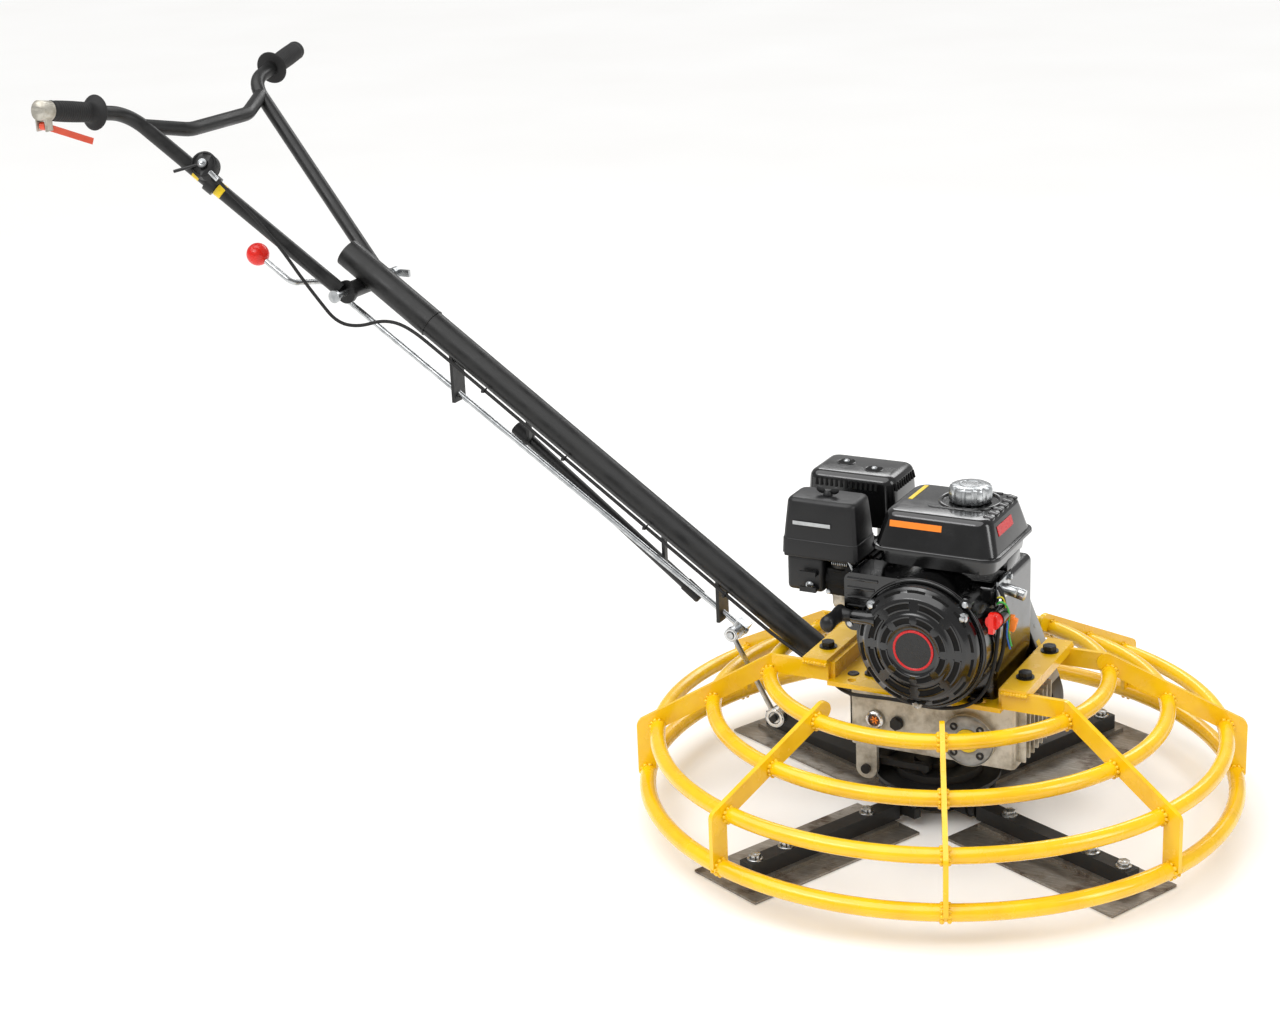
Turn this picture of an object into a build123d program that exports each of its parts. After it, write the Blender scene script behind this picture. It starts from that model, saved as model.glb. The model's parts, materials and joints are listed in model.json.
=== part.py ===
from build123d import *
from math import atan2, cos, degrees, hypot, pi, radians, sin, tan
import os

# Walk-behind power trowel, millimetres, +Z up.
# Origin: on the rotor's axis, on the floor that the blades rest on.
# The handle leans away towards -X, and the engine's crankshaft lies along Y.

os.makedirs("parts", exist_ok=True)

RUN = 0.05                      # radial clearance of a running fit
GAP = 0.6                       # clear space between neighbours that move apart

# Rotor and blades
ARM_COUNT = 4
ARM_FIRST_ANGLE = 66.0          # degrees from +X
ARM_AXIS_Z = 24.0
ARM_BAR_WIDTH = 28.0
ARM_BAR_TOP = 36.0
ARM_START = 100.0
ARM_END = 415.0
SPINDLE_RADIUS = 10.0
SPINDLE_START = 42.0
BOSS_RADIUS = 19.0
BOSS_END = 80.0
HUB_RADIUS = 38.0
HUB_BOTTOM = 8.0
HUB_TOP = 88.0
BLADE_THICKNESS = 4.0
BLADE_LENGTH = 347.0
BLADE_WIDTH = 145.0
BLADE_START = 102.0
BLADE_OFFSET = 12.0
BLADE_BAR_WIDTH = 46.0
BLADE_BAR_THICKNESS = 7.0
BLADE_BOLTS = (160.0, 333.0, 396.0)
BLADE_BOLT_RADIUS = 5.0
LIFT_LEVER_AT = 89.0
LIFT_LEVER_REACH = 36.0

# Pitch control stack on the hub
PRESSURE_PLATE_RADIUS = 102.0
PRESSURE_PLATE_BOTTOM = 60.0
PRESSURE_PLATE_THICKNESS = 6.0
COLLAR_RADIUS = 72.0
COLLAR_THICKNESS = 13.0
YOKE_X = -92.0
YOKE_Z = 82.0
YOKE_TUBE_RADIUS = 14.0
YOKE_PIN_RADIUS = 8.0
YOKE_TINE_Y = 56.0
EYE_X = -275.0
EYE_Z = 122.0
EYE_Y = -35.0
EYE_PIN_RADIUS = 6.0

# Gearbox
BOX_LEFT = -120.0
BOX_RIGHT = 158.0
BOX_HALF_DEPTH = 80.0
BOX_BOTTOM = 122.0
BOX_TOP = 231.0
WORM_X = 84.0
WORM_Z = 165.0
WORM_RADIUS = 16.0
WORM_SHAFT_RADIUS = 10.0
WHEEL_WIDTH = 24.0
OUTPUT_RADIUS = 15.0
BEARING_WIDTH = 14.0
COVER_RADIUS = 44.0
COVER_THICKNESS = 10.0
GEARBOX_PULLEY_RADIUS = 70.0

# Engine
PLATE_THICKNESS = 8.0
PLATE_HALF_DEPTH = 112.0
CRANK_X = 30.0
CRANK_HEIGHT = 106.0
CRANK_SHAFT_RADIUS = 12.5
CASE_LEFT = -62.0
CASE_RIGHT = 128.0
CASE_HALF_DEPTH = 84.0
CASE_HEIGHT = 190.0
FLYWHEEL_RADIUS = 85.0
CLUTCH_RADIUS = 50.0
SHROUD_RADIUS = 107.0
SHROUD_DEPTH = 66.0
RECOIL_RADIUS = 99.0
RECOIL_DEPTH = 34.0
TANK_LENGTH = 202.0
TANK_DEPTH = 178.0
TANK_X = 36.0
TANK_Y = -30.0
TANK_BOTTOM = 455.0
TANK_SEAM = 483.0
TANK_TOP = 538.0
CAP_X = 60.0
CAP_Y = -15.0
CAP_RADIUS = 34.0
CLEANER_X = -152.0
CLEANER_Y = -83.0
CLEANER_LENGTH = 132.0
CLEANER_DEPTH = 82.0
CLEANER_BOTTOM = 452.0
CLEANER_TOP = 543.0
CARB_X = -125.0
CARB_HALF = 22.0
LEVER_PIN_X = -159.0
MUFFLER_X = -165.0
MUFFLER_Y = 85.0
MUFFLER_LENGTH = 160.0
MUFFLER_DEPTH = 114.0
MUFFLER_BOTTOM = 456.0
MUFFLER_TOP = 540.0
PIPE_FORWARD = 47.0
PIPE_RADIUS = 13.0
PORT_Y = 46.0
PORT_Z = 415.0
BELT_NEAR_Y = 92.0
BELT_WIDTH = 17.0
COVER_WALL = 3.0

# Guard
RING_TUBE_RADIUS = 12.5
BOTTOM_TUBE_RADIUS = 13.5
RINGS = ((476.0, 57.0), (457.0, 139.0), (364.0, 185.0), (271.0, 234.0))
SPOKE_COUNT = 8
SPOKE_WIDTH = 30.0
SPOKE_THICKNESS = 8.0
SPOKE_RISE = 6.0
PAD_X = 167.0
PAD_WIDTH = 42.0
PAD_THICKNESS = 8.0
PAD_HALF_LENGTH = 112.0
PAD_TOP = 274.0
PAD_BOLT_Y = 58.0

# Handle
TUBE_RADIUS = 24.0
TUBE_WALL = 3.5
TUBE_TOP_X = -1093.0
TUBE_TOP_Z = 849.0
TUBE_LOW_X = -245.0
TUBE_LOW_Z = 262.0
FOOT_THICKNESS = 12.0
PIVOT_ALONG = 55.0
PIVOT_BELOW = 31.0
PIVOT_TUBE_RADIUS = 15.0
PIVOT_BOLT_RADIUS = 6.0
PIVOT_HALF = 46.0
LUG_THICKNESS = 8.0
BAR_RADIUS = 12.5
BAR_WALL = 2.5
ELBOW_BACK = 0.72
GRIP_START = (-1407.0, 246.0, 1120.0)
GRIP_END = (-1419.0, 345.0, 1139.0)
CROSS_AT = 0.93
CROSS_BEND = (-1344.0, 82.0, 1066.0)
GRIP_RADIUS = 17.0
FLANGE_RADIUS = 30.0
ROD_RADIUS = 5.0
ROD_TOP_X = -1147.0
ROD_TOP_Z = 793.0
ROD_LOW_X = -352.0
ROD_LOW_Z = 259.0
CRANK_ARM = 70.0
CRANK_HANDLE = 82.0
KNOB_RADIUS = 20.0
NUT_HALF = 13.0
POLE_RADIUS = 10.0
POLE_Y = 24.0
POLE_TOP = (-785.0, 556.0)
POLE_LOW = (-440.0, 292.0)
CABLE_RADIUS = 3.0
THROTTLE_AT = 280.0
THROTTLE_RADIUS = 23.0
CABLE_UPPER = (
    (-1246, -160, 1010), (-1220, -148, 976), (-1184, -130, 930), (-1145, -114, 872),
    (-1112, -103, 815), (-1080.3, -92.1, 768.5),
)
CABLE_LOWER = (
    (-1080, -92, 768), (-1066, -87, 747), (-1036, -66, 736), (-1000, -42, 746), (-962, -30, 736),
    (-905, -27, 698), (-325, -28, 297), (-270, -31, 263), (-217, -40, 240), (-165, -64, 220),
    (-120, -98, 216), (-80, -119, 226), (-20, -122, 231), (40, -121, 225), (95, -122, 237),
    (126, -122, 268), (140, -117, 320), (143, -114, 378),
)

# Sizes that follow from the ones above
PLATE_BOTTOM = BOX_TOP
PLATE_TOP = PLATE_BOTTOM + PLATE_THICKNESS
CRANK_Z = PLATE_TOP + CRANK_HEIGHT
PRESSURE_PLATE_TOP = PRESSURE_PLATE_BOTTOM + PRESSURE_PLATE_THICKNESS
COLLAR_BOTTOM = PRESSURE_PLATE_TOP + 0.4
COLLAR_TOP = COLLAR_BOTTOM + COLLAR_THICKNESS
CASE_TOP = PLATE_TOP + CASE_HEIGHT
SHROUD_BACK = -CASE_HALF_DEPTH
SHROUD_FRONT = SHROUD_BACK - SHROUD_DEPTH
RECOIL_FRONT = SHROUD_FRONT - RECOIL_DEPTH
TUBE_RUN = hypot(TUBE_LOW_X - TUBE_TOP_X, TUBE_LOW_Z - TUBE_TOP_Z)
TUBE_DX = (TUBE_LOW_X - TUBE_TOP_X) / TUBE_RUN
TUBE_DZ = (TUBE_LOW_Z - TUBE_TOP_Z) / TUBE_RUN
PIVOT_X = TUBE_TOP_X + PIVOT_ALONG * TUBE_DX + PIVOT_BELOW * TUBE_DZ
PIVOT_Z = TUBE_TOP_Z + PIVOT_ALONG * TUBE_DZ - PIVOT_BELOW * TUBE_DX
PAD_BOTTOM = PAD_TOP - PAD_THICKNESS


def save(name, *shapes):
    """Write one node: its solids as one compound, or the single solid."""
    solids = []
    for shape in shapes:
        solids.extend(shape.solids())
    node = solids[0] if len(solids) == 1 else Compound(children=solids)
    node.label = name
    export_step(node, "parts/" + name + ".step")


def block(x0, x1, y0, y1, z0, z1):
    """A box between two corners."""
    place = Pos((x0 + x1) / 2, (y0 + y1) / 2, (z0 + z1) / 2)
    return place * Box(abs(x1 - x0), abs(y1 - y0), abs(z1 - z0))


def rod(a, b, radius):
    """A round bar from point a to point b."""
    start = Vector(*a)
    way = Vector(*b) - start
    return Solid.make_cylinder(radius, way.length, Plane(origin=start, z_dir=way))


def along_y(x, z, y0, y1, radius):
    """A round bar along Y."""
    return rod((x, y0, z), (x, y1, z), radius)


def along_z(x, y, z0, z1, radius):
    """A round bar along Z."""
    return rod((x, y, z0), (x, y, z1), radius)


def soft_block(x0, x1, y0, y1, z0, z1, upright, top):
    """A box with rounded upright edges and a rounded top rim."""
    shape = block(x0, x1, y0, y1, z0, z1)
    shape = fillet(shape.edges().filter_by(Axis.Z), upright)
    if top > 0:
        shape = fillet(shape.faces().sort_by(Axis.Z)[-1].edges(), top)
    return shape


def hexagon(x, y, z0, z1, across):
    """An upright hexagonal prism, measured across its flats."""
    face = RegularPolygon(across / 2, 6, major_radius=False)
    return Pos(x, y, z0) * extrude(face, z1 - z0)


def bolt(x, y, z0, seat, radius):
    """A hex bolt whose shank reaches down to z0 and whose washer sits at seat."""
    shank = along_z(x, y, z0, seat, radius)
    washer = along_z(x, y, seat, seat + 2, radius * 2.4)
    return shank + washer + hexagon(x, y, seat + 2, seat + 2 + radius * 1.3, radius * 3.2)


def pipe(points, radii, outer, inner=0.0):
    """A tube, or a solid cord, along straight runs joined by tangent arcs."""
    path = FilletPolyline(*points, radius=radii)
    way = Vector(*points[1]) - Vector(*points[0])
    section = Circle(outer)
    if inner > 0:
        section = section - Circle(inner)
    return sweep(Plane(origin=points[0], z_dir=way) * section, path=path)


def arc_radii(points):
    """The largest tangent arc each corner allows: 0.45 of its shorter run."""
    radii = []
    for before, here, after in zip(points, points[1:], points[2:]):
        one = Vector(*here) - Vector(*before)
        two = Vector(*after) - Vector(*here)
        half_turn = radians(one.get_angle(two)) / 2
        radii.append(0.45 * min(one.length, two.length) / tan(half_turn))
    return radii


def flat_bar(points, width, thickness):
    """A flat bar standing on edge in the XZ plane, round at each corner."""
    face = Sketch()
    for (x0, z0), (x1, z1) in zip(points, points[1:]):
        middle = Pos((x0 + x1) / 2, (z0 + z1) / 2)
        turn = Rot(0, 0, degrees(atan2(z1 - z0, x1 - x0)))
        face += middle * turn * Rectangle(hypot(x1 - x0, z1 - z0), width)
    for x, z in points[:-1]:
        face += Pos(x, z) * Circle(width / 2)
    return extrude(Plane.XZ * face, thickness / 2, both=True)


def on_tube(distance):
    """The point of the main tube's axis at a distance from its top end."""
    return (TUBE_TOP_X + distance * TUBE_DX, TUBE_TOP_Z + distance * TUBE_DZ)


# ---- Guard ----

def make_guard():
    """Four tube rings, eight flat-bar spokes and the two mounting pads."""
    rings = []
    for index, (radius, height) in enumerate(RINGS):
        tube = BOTTOM_TUBE_RADIUS if index == 0 else RING_TUBE_RADIUS
        hollow = tube - 2.5
        ring = Solid.make_torus(radius, tube) - Solid.make_torus(radius, hollow)
        rings.append(Pos(0, 0, height) * ring)
    save("guard_ring_bottom", rings[0])
    save("guard_rings_upper", *rings[1:])
    outer = (RINGS[1][0] + 22, RINGS[1][1] - 6 + SPOKE_RISE)
    foot = (RINGS[0][0] + 2, RINGS[0][1])
    corner = (foot[0], outer[1])
    inner = (RINGS[3][0] - 13, RINGS[3][1] + 7 + SPOKE_RISE)
    solid_rings = []
    for index, (radius, height) in enumerate(RINGS):
        tube = BOTTOM_TUBE_RADIUS if index == 0 else RING_TUBE_RADIUS
        solid_rings.append(Pos(0, 0, height) * Solid.make_torus(radius, tube))
    spokes = []
    step = 360 / SPOKE_COUNT
    for index in range(SPOKE_COUNT):
        angle = step / 2 + step * index
        side = 1 if cos(radians(angle)) > 0 else -1
        reaches_pad = abs(cos(radians(angle))) > 0.7
        start = (RINGS[3][0] - 4, PAD_BOTTOM - SPOKE_WIDTH / 2) if reaches_pad else inner
        bar = Rot(0, 0, angle) * flat_bar((start, corner, foot), SPOKE_WIDTH, SPOKE_THICKNESS)
        if reaches_pad:
            bend_x = start[0] * cos(radians(angle))
            bend_y = start[0] * sin(radians(angle))
            low = PAD_BOTTOM - SPOKE_WIDTH
            pad_inner = side * (PAD_X - PAD_WIDTH / 2)
            half = SPOKE_THICKNESS / 2
            level = block(pad_inner, bend_x, bend_y - half, bend_y + half, low, PAD_BOTTOM)
            bar = bar + level
        for ring in solid_rings:
            bar = bar - ring
        spokes.extend(bar.solids())
    pads = []
    for side in (-1, 1):
        x0 = side * PAD_X - PAD_WIDTH / 2
        pad = block(x0, x0 + PAD_WIDTH, -PAD_HALF_LENGTH, PAD_HALF_LENGTH, PAD_BOTTOM, PAD_TOP)
        for y in (-PAD_BOLT_Y, PAD_BOLT_Y):
            pad = pad - along_z(side * PAD_X, y, 0, PAD_TOP + 1, 6.5)
        pads.append(pad)
    save("guard_spokes", *spokes, *pads)


def cover_outline(grow):
    """The outline of the belt cover: two circles and their common tangents."""
    return make_hull(
        (Pos(CRANK_X, CRANK_Z) * Circle(CLUTCH_RADIUS + 12 + grow)).edges()
        + (Pos(WORM_X, WORM_Z) * Circle(GEARBOX_PULLEY_RADIUS + 10 + grow)).edges()
    )


def slab_y(face, y0, y1):
    """Extrude a face drawn in X and Z from y0 to y1."""
    return extrude(Plane(origin=(0, y0, 0), x_dir=(1, 0, 0), z_dir=(0, -1, 0)) * face, y0 - y1)


def make_base_plate():
    """The engine's plate with its two raised flanges under the guard's pads."""
    inner = PAD_X - PAD_WIDTH / 2
    flange_half = PLATE_HALF_DEPTH - 14
    plate = block(-inner, inner, -PLATE_HALF_DEPTH, PLATE_HALF_DEPTH, PLATE_BOTTOM, PLATE_TOP)
    parts = [plate]
    for side in (-1, 1):
        rise = sorted((side * (inner - PLATE_THICKNESS), side * inner))
        flange = sorted((side * (inner - PLATE_THICKNESS), side * (PAD_X + PAD_WIDTH / 2)))
        parts.append(block(*rise, -flange_half, flange_half, PLATE_BOTTOM, PAD_BOTTOM))
        parts.append(block(*flange, -flange_half, flange_half, PAD_BOTTOM - 8, PAD_BOTTOM))
    plate = parts[0]
    for part in parts[1:]:
        plate = plate + part
    cut = slab_y(cover_outline(COVER_WALL + 2), BELT_NEAR_Y - 8, PLATE_HALF_DEPTH + 40)
    plate = plate - cut
    bolts = []
    for x in (-PAD_X, PAD_X):
        for y in (-PAD_BOLT_Y, PAD_BOLT_Y):
            plate = plate - along_z(x, y, PAD_BOTTOM - 20, PAD_TOP, 6.5)
            bolts.append(bolt(x, y, PAD_BOTTOM - 16, PAD_TOP, 6.0))
    for x in (-110.0, 110.0):
        plate = plate - along_z(x, -PLATE_HALF_DEPTH + 17, PLATE_BOTTOM - 1, PLATE_TOP + 1, 7)
    save("base_plate", plate)
    for x, y in ((-90, -60), (-90, 50), (-40, -98), (100, -98)):
        washer = along_z(x, y, PLATE_TOP, PLATE_TOP + 3, 12)
        bolts.append(washer + hexagon(x, y, PLATE_TOP + 3, PLATE_TOP + 9, 16))
    save("frame_bolts", *bolts)


# ---- Gearbox ----

def make_gearbox():
    """Housing, covers, worm drive, output shaft and bearings."""
    housing = block(BOX_LEFT, BOX_RIGHT, -BOX_HALF_DEPTH, BOX_HALF_DEPTH, BOX_BOTTOM, BOX_TOP)
    housing = fillet(housing.edges().filter_by(Axis.Z), 8)
    for y in range(-60, 61, 20):
        housing = housing + block(BOX_RIGHT - 1, BOX_RIGHT + 12, y - 2, y + 2, BOX_BOTTOM + 8, BOX_TOP - 8)
    for side in (-1, 1):
        y0, y1 = sorted((side * (BOX_HALF_DEPTH - 8), side * (BOX_HALF_DEPTH + 2)))
        ear = block(YOKE_X - 18, YOKE_X + 18, y0, y1, YOKE_Z, BOX_BOTTOM + 12)
        ear = ear + along_y(YOKE_X, YOKE_Z, y0, y1, 18)
        housing = housing + ear
    wheel_radius = WORM_X - WORM_RADIUS
    housing = housing - along_z(0, 0, WORM_Z - 25, WORM_Z + 40, wheel_radius + 6)
    housing = housing - along_z(0, 0, BOX_BOTTOM - 1, WORM_Z, OUTPUT_RADIUS + 15)
    housing = housing - along_z(0, 0, WORM_Z, BOX_TOP - 8, OUTPUT_RADIUS + 5)
    housing = housing - along_y(WORM_X, WORM_Z, -BOX_HALF_DEPTH - 1, BOX_HALF_DEPTH - 6, WORM_RADIUS + 8)
    housing = housing - along_y(WORM_X, WORM_Z, 0, BOX_HALF_DEPTH + 1, WORM_SHAFT_RADIUS + 2)
    housing = housing - along_y(YOKE_X, YOKE_Z, -90, 90, YOKE_PIN_RADIUS)
    for x in (-76.0, -38.0):
        housing = housing - along_y(x, WORM_Z + 6, -BOX_HALF_DEPTH - 1, -BOX_HALF_DEPTH + 12, 8)
    save("gearbox_housing", housing)

    front = -BOX_HALF_DEPTH
    cover = along_y(WORM_X, WORM_Z, front - COVER_THICKNESS, front, COVER_RADIUS)
    cover = cover - along_y(WORM_X, WORM_Z, front - 4, front + 1, WORM_SHAFT_RADIUS + 4)
    screws = []
    for index in range(4):
        angle = radians(45 + 90 * index)
        x = WORM_X + 33 * cos(angle)
        z = WORM_Z + 33 * sin(angle)
        cover = cover - along_y(x, z, front - COVER_THICKNESS - 1, front + 1, 4)
        screws.append(along_y(x, z, front - COVER_THICKNESS + 2, front, 4))
    save("gearbox_cover", cover)
    plug_x = -38.0
    plug = along_y(plug_x, WORM_Z + 6, front - 3, front + 10, 8)
    plug_face = Plane(origin=(plug_x, front - 3, WORM_Z + 6), z_dir=(0, -1, 0))
    head = plug_face * RegularPolygon(9, 6, major_radius=False)
    screws.append(plug + extrude(head, 8))
    screws.append(along_y(YOKE_X, YOKE_Z, front - 8, BOX_HALF_DEPTH + 8, YOKE_PIN_RADIUS))
    save("gearbox_screws", *screws)
    stem = along_y(-76, WORM_Z + 6, front - 4, front + 10, 8)
    save("oil_sight_glass", stem + along_y(-76, WORM_Z + 6, front - 4, front, 12))

    worm = along_y(WORM_X, WORM_Z, front - 3, BELT_NEAR_Y + BELT_WIDTH + 6, WORM_SHAFT_RADIUS)
    worm = worm + along_y(WORM_X, WORM_Z, -45, 45, WORM_RADIUS)
    save("worm_shaft", worm)
    shaft = along_z(0, 0, HUB_BOTTOM + 2, BOX_TOP - 12, OUTPUT_RADIUS)
    half = WHEEL_WIDTH / 2
    wheel = along_z(0, 0, WORM_Z - half, WORM_Z + half, wheel_radius - GAP)
    wheel = wheel - along_z(0, 0, 0, BOX_TOP, OUTPUT_RADIUS)
    save("output_shaft", shaft, wheel)
    low = along_z(0, 0, BOX_BOTTOM + 2, BOX_BOTTOM + 2 + BEARING_WIDTH, OUTPUT_RADIUS + 15)
    bearings = [low - along_z(0, 0, 0, BOX_TOP, OUTPUT_RADIUS + RUN)]
    for y in (-BOX_HALF_DEPTH + 4, BOX_HALF_DEPTH - 6 - BEARING_WIDTH):
        ring = along_y(WORM_X, WORM_Z, y, y + BEARING_WIDTH, WORM_RADIUS + 8)
        bearings.append(ring - along_y(WORM_X, WORM_Z, y - 1, y + BEARING_WIDTH + 1, WORM_SHAFT_RADIUS + RUN))
    save("shaft_bearings", *bearings)


def grooved_pulley(x, z, radius, bore):
    """A V-belt pulley about Y, centred on the belt."""
    y1 = BELT_NEAR_Y + BELT_WIDTH
    wheel = along_y(x, z, BELT_NEAR_Y - 4, y1 + 4, radius)
    middle = (BELT_NEAR_Y + y1) / 2
    groove = Plane(origin=(x, middle, z), x_dir=(1, 0, 0), z_dir=(0, -1, 0))
    cut = Pos(0, 0) * Polygon(
        (radius + 1, -BELT_WIDTH / 2), (radius + 1, BELT_WIDTH / 2),
        (radius - 9, 5), (radius - 9, -5), align=None,
    )
    section = Plane(origin=(x, middle, z), x_dir=(1, 0, 0), z_dir=(0, 0, 1)) * cut
    wheel = wheel - revolve(section, Axis((x, middle, z), (0, 1, 0)), 360)
    return wheel - along_y(x, z, BELT_NEAR_Y - 5, y1 + 5, bore)


def make_belt_drive():
    """Clutch pulley, gearbox pulley, belt and the cover over them."""
    save("clutch_pulley", grooved_pulley(CRANK_X, CRANK_Z, CLUTCH_RADIUS, CRANK_SHAFT_RADIUS))
    save("gearbox_pulley", grooved_pulley(WORM_X, WORM_Z, GEARBOX_PULLEY_RADIUS, WORM_SHAFT_RADIUS))
    y0 = BELT_NEAR_Y + 2.5
    y1 = BELT_NEAR_Y + BELT_WIDTH - 2.5
    outline = make_hull(
        (Pos(CRANK_X, CRANK_Z) * Circle(CLUTCH_RADIUS + 1)).edges()
        + (Pos(WORM_X, WORM_Z) * Circle(GEARBOX_PULLEY_RADIUS + 1)).edges()
    )
    hole = make_hull(
        (Pos(CRANK_X, CRANK_Z) * Circle(CLUTCH_RADIUS - 4)).edges()
        + (Pos(WORM_X, WORM_Z) * Circle(GEARBOX_PULLEY_RADIUS - 4)).edges()
    )
    belt = slab_y(outline, y0, y1) - slab_y(hole, y0 - 1, y1 + 1)
    save("v_belt", belt)
    back = BELT_NEAR_Y - 6
    front = BELT_NEAR_Y + BELT_WIDTH + 24
    cover = slab_y(cover_outline(COVER_WALL), back, front)
    cover = cover - slab_y(cover_outline(0), back - 1, front - COVER_WALL)
    save("belt_cover", cover)


# ---- Engine ----

def make_crankcase():
    """Crankcase, slanted finned cylinder, crankshaft and flywheel."""
    case = soft_block(CASE_LEFT, CASE_RIGHT, -CASE_HALF_DEPTH, CASE_HALF_DEPTH, PLATE_TOP, CASE_TOP, 10, 12)
    case = case - along_y(CRANK_X, CRANK_Z, -CASE_HALF_DEPTH + 8, CASE_HALF_DEPTH - 8, 48)
    case = case - along_y(CRANK_X, CRANK_Z, -CASE_HALF_DEPTH - 1, CASE_HALF_DEPTH + 1, CRANK_SHAFT_RADIUS + RUN)
    save("crankcase", case)

    web = along_y(CRANK_X, CRANK_Z, -24, 24, 40)
    shaft = along_y(CRANK_X, CRANK_Z, SHROUD_FRONT + 14, BELT_NEAR_Y + BELT_WIDTH + 10, CRANK_SHAFT_RADIUS)
    wheel = along_y(CRANK_X, CRANK_Z, SHROUD_BACK - 34, SHROUD_BACK - 6, FLYWHEEL_RADIUS)
    wheel = wheel - along_y(CRANK_X, CRANK_Z, SHROUD_FRONT, 0, CRANK_SHAFT_RADIUS)
    save("crankshaft", shaft + web, wheel)

    slant = 20.0
    local = Pos(CRANK_X, 0, CRANK_Z) * Rot(0, slant, 0)
    barrel = local * Pos(-130, 0, 0) * Box(110, 74, 72)
    for index in range(9):
        barrel = barrel + local * Pos(-88 - 10 * index, 0, 0) * Box(4, 92, 88)
    barrel = barrel + local * Pos(-192, 0, 0) * Box(18, 70, 66)
    barrel = barrel - block(CASE_LEFT, CASE_RIGHT, -100, 100, PLATE_TOP - 5, CASE_TOP + 90)
    save("cylinder_head", barrel)


def make_recoil_starter():
    """Fan shroud, recoil cover, starter rope and grip."""
    outline = Pos(CRANK_X, CRANK_Z) * Circle(SHROUD_RADIUS)
    wing = Pos(-34, CRANK_Z + 53) * RectangleRounded(126, 96, 14)
    face = outline + wing
    shroud = slab_y(face, SHROUD_BACK, SHROUD_FRONT)
    floor_cut = block(-200, 200, SHROUD_FRONT - 1, SHROUD_BACK + 1, 0, PLATE_TOP)
    shroud = shroud - floor_cut
    hollow = Pos(CRANK_X, CRANK_Z) * Circle(SHROUD_RADIUS - 8)
    hollow = hollow + Pos(-34, CRANK_Z + 53) * RectangleRounded(118, 88, 10)
    shroud = shroud - (slab_y(hollow, SHROUD_BACK + 1, SHROUD_FRONT + 3) - floor_cut)
    shroud = shroud - along_y(CRANK_X, CRANK_Z, SHROUD_FRONT - 1, SHROUD_FRONT + 4, RECOIL_RADIUS - 8)
    save("fan_shroud", shroud, switch_body())

    cover = along_y(CRANK_X, CRANK_Z, RECOIL_FRONT, SHROUD_FRONT, RECOIL_RADIUS)
    cover = fillet(cover.faces().sort_by(Axis.Y)[0].edges(), 14)
    cover = cover - along_y(CRANK_X, CRANK_Z, RECOIL_FRONT + 4, SHROUD_FRONT + 1, RECOIL_RADIUS - 16)
    rope_z = CRANK_Z + 36
    outlet_x = CRANK_X - RECOIL_RADIUS + 4
    rope_y = (RECOIL_FRONT + SHROUD_FRONT) / 2
    outlet = rod((outlet_x + 16, rope_y, rope_z), (outlet_x - 6, rope_y, rope_z), 9)
    cover = cover + outlet
    cover = cover - rod((outlet_x + 60, rope_y, rope_z), (outlet_x - 8, rope_y, rope_z), 4)
    save("recoil_cover", cover)
    save("starter_rope", rod((outlet_x + 10, rope_y, rope_z), (outlet_x - 10, rope_y, rope_z), 2))
    grip = rod((outlet_x - 10, rope_y, rope_z), (outlet_x - 42, rope_y, rope_z), 11)
    grip = grip + block(outlet_x - 46, outlet_x - 22, rope_y - 54, rope_y + 14, rope_z - 13, rope_z + 13)
    grip = fillet(grip.edges().filter_by(Axis.Y), 6)
    save("starter_grip", grip)


def make_tank():
    """Fuel tank in two pressed shells, and its cap."""
    half_l = TANK_LENGTH / 2
    half_d = TANK_DEPTH / 2
    x0, x1 = TANK_X - half_l, TANK_X + half_l
    y0, y1 = TANK_Y - half_d, TANK_Y + half_d
    lower = RectangleRounded(TANK_LENGTH, TANK_DEPTH, 20)
    upper = RectangleRounded(TANK_LENGTH - 30, TANK_DEPTH - 30, 22)
    top = loft([Pos(TANK_X, TANK_Y, TANK_SEAM) * lower, Pos(TANK_X, TANK_Y, TANK_TOP) * upper])
    tub = soft_block(x0 + 6, x1 - 6, y0 + 6, y1 - 6, TANK_BOTTOM, TANK_SEAM, 20, 0)
    rim = soft_block(x0 - 4, x1 + 4, y0 - 4, y1 + 4, TANK_SEAM - 3, TANK_SEAM + 1, 22, 0)
    tank = top + tub + rim
    neck = along_z(CAP_X, CAP_Y, TANK_TOP - 2, TANK_TOP + 8, 20)
    struts = []
    for x in (-20.0, 100.0):
        struts.append(block(x, x + 30, -40, 20, CASE_TOP, TANK_BOTTOM))
    save("fuel_tank", tank + neck, *struts)
    cap = along_z(CAP_X, CAP_Y, TANK_TOP + GAP, TANK_TOP + 28, CAP_RADIUS)
    cap = fillet(cap.faces().sort_by(Axis.Z)[-1].edges(), 5)
    cap = cap - along_z(CAP_X, CAP_Y, TANK_TOP, TANK_TOP + 14, 20.5)
    for index in range(12):
        angle = radians(30 * index)
        x = CAP_X + (CAP_RADIUS + 2) * cos(angle)
        y = CAP_Y + (CAP_RADIUS + 2) * sin(angle)
        cap = cap - along_z(x, y, TANK_TOP, TANK_TOP + 40, 4.5)
    save("fuel_cap", cap)


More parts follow.
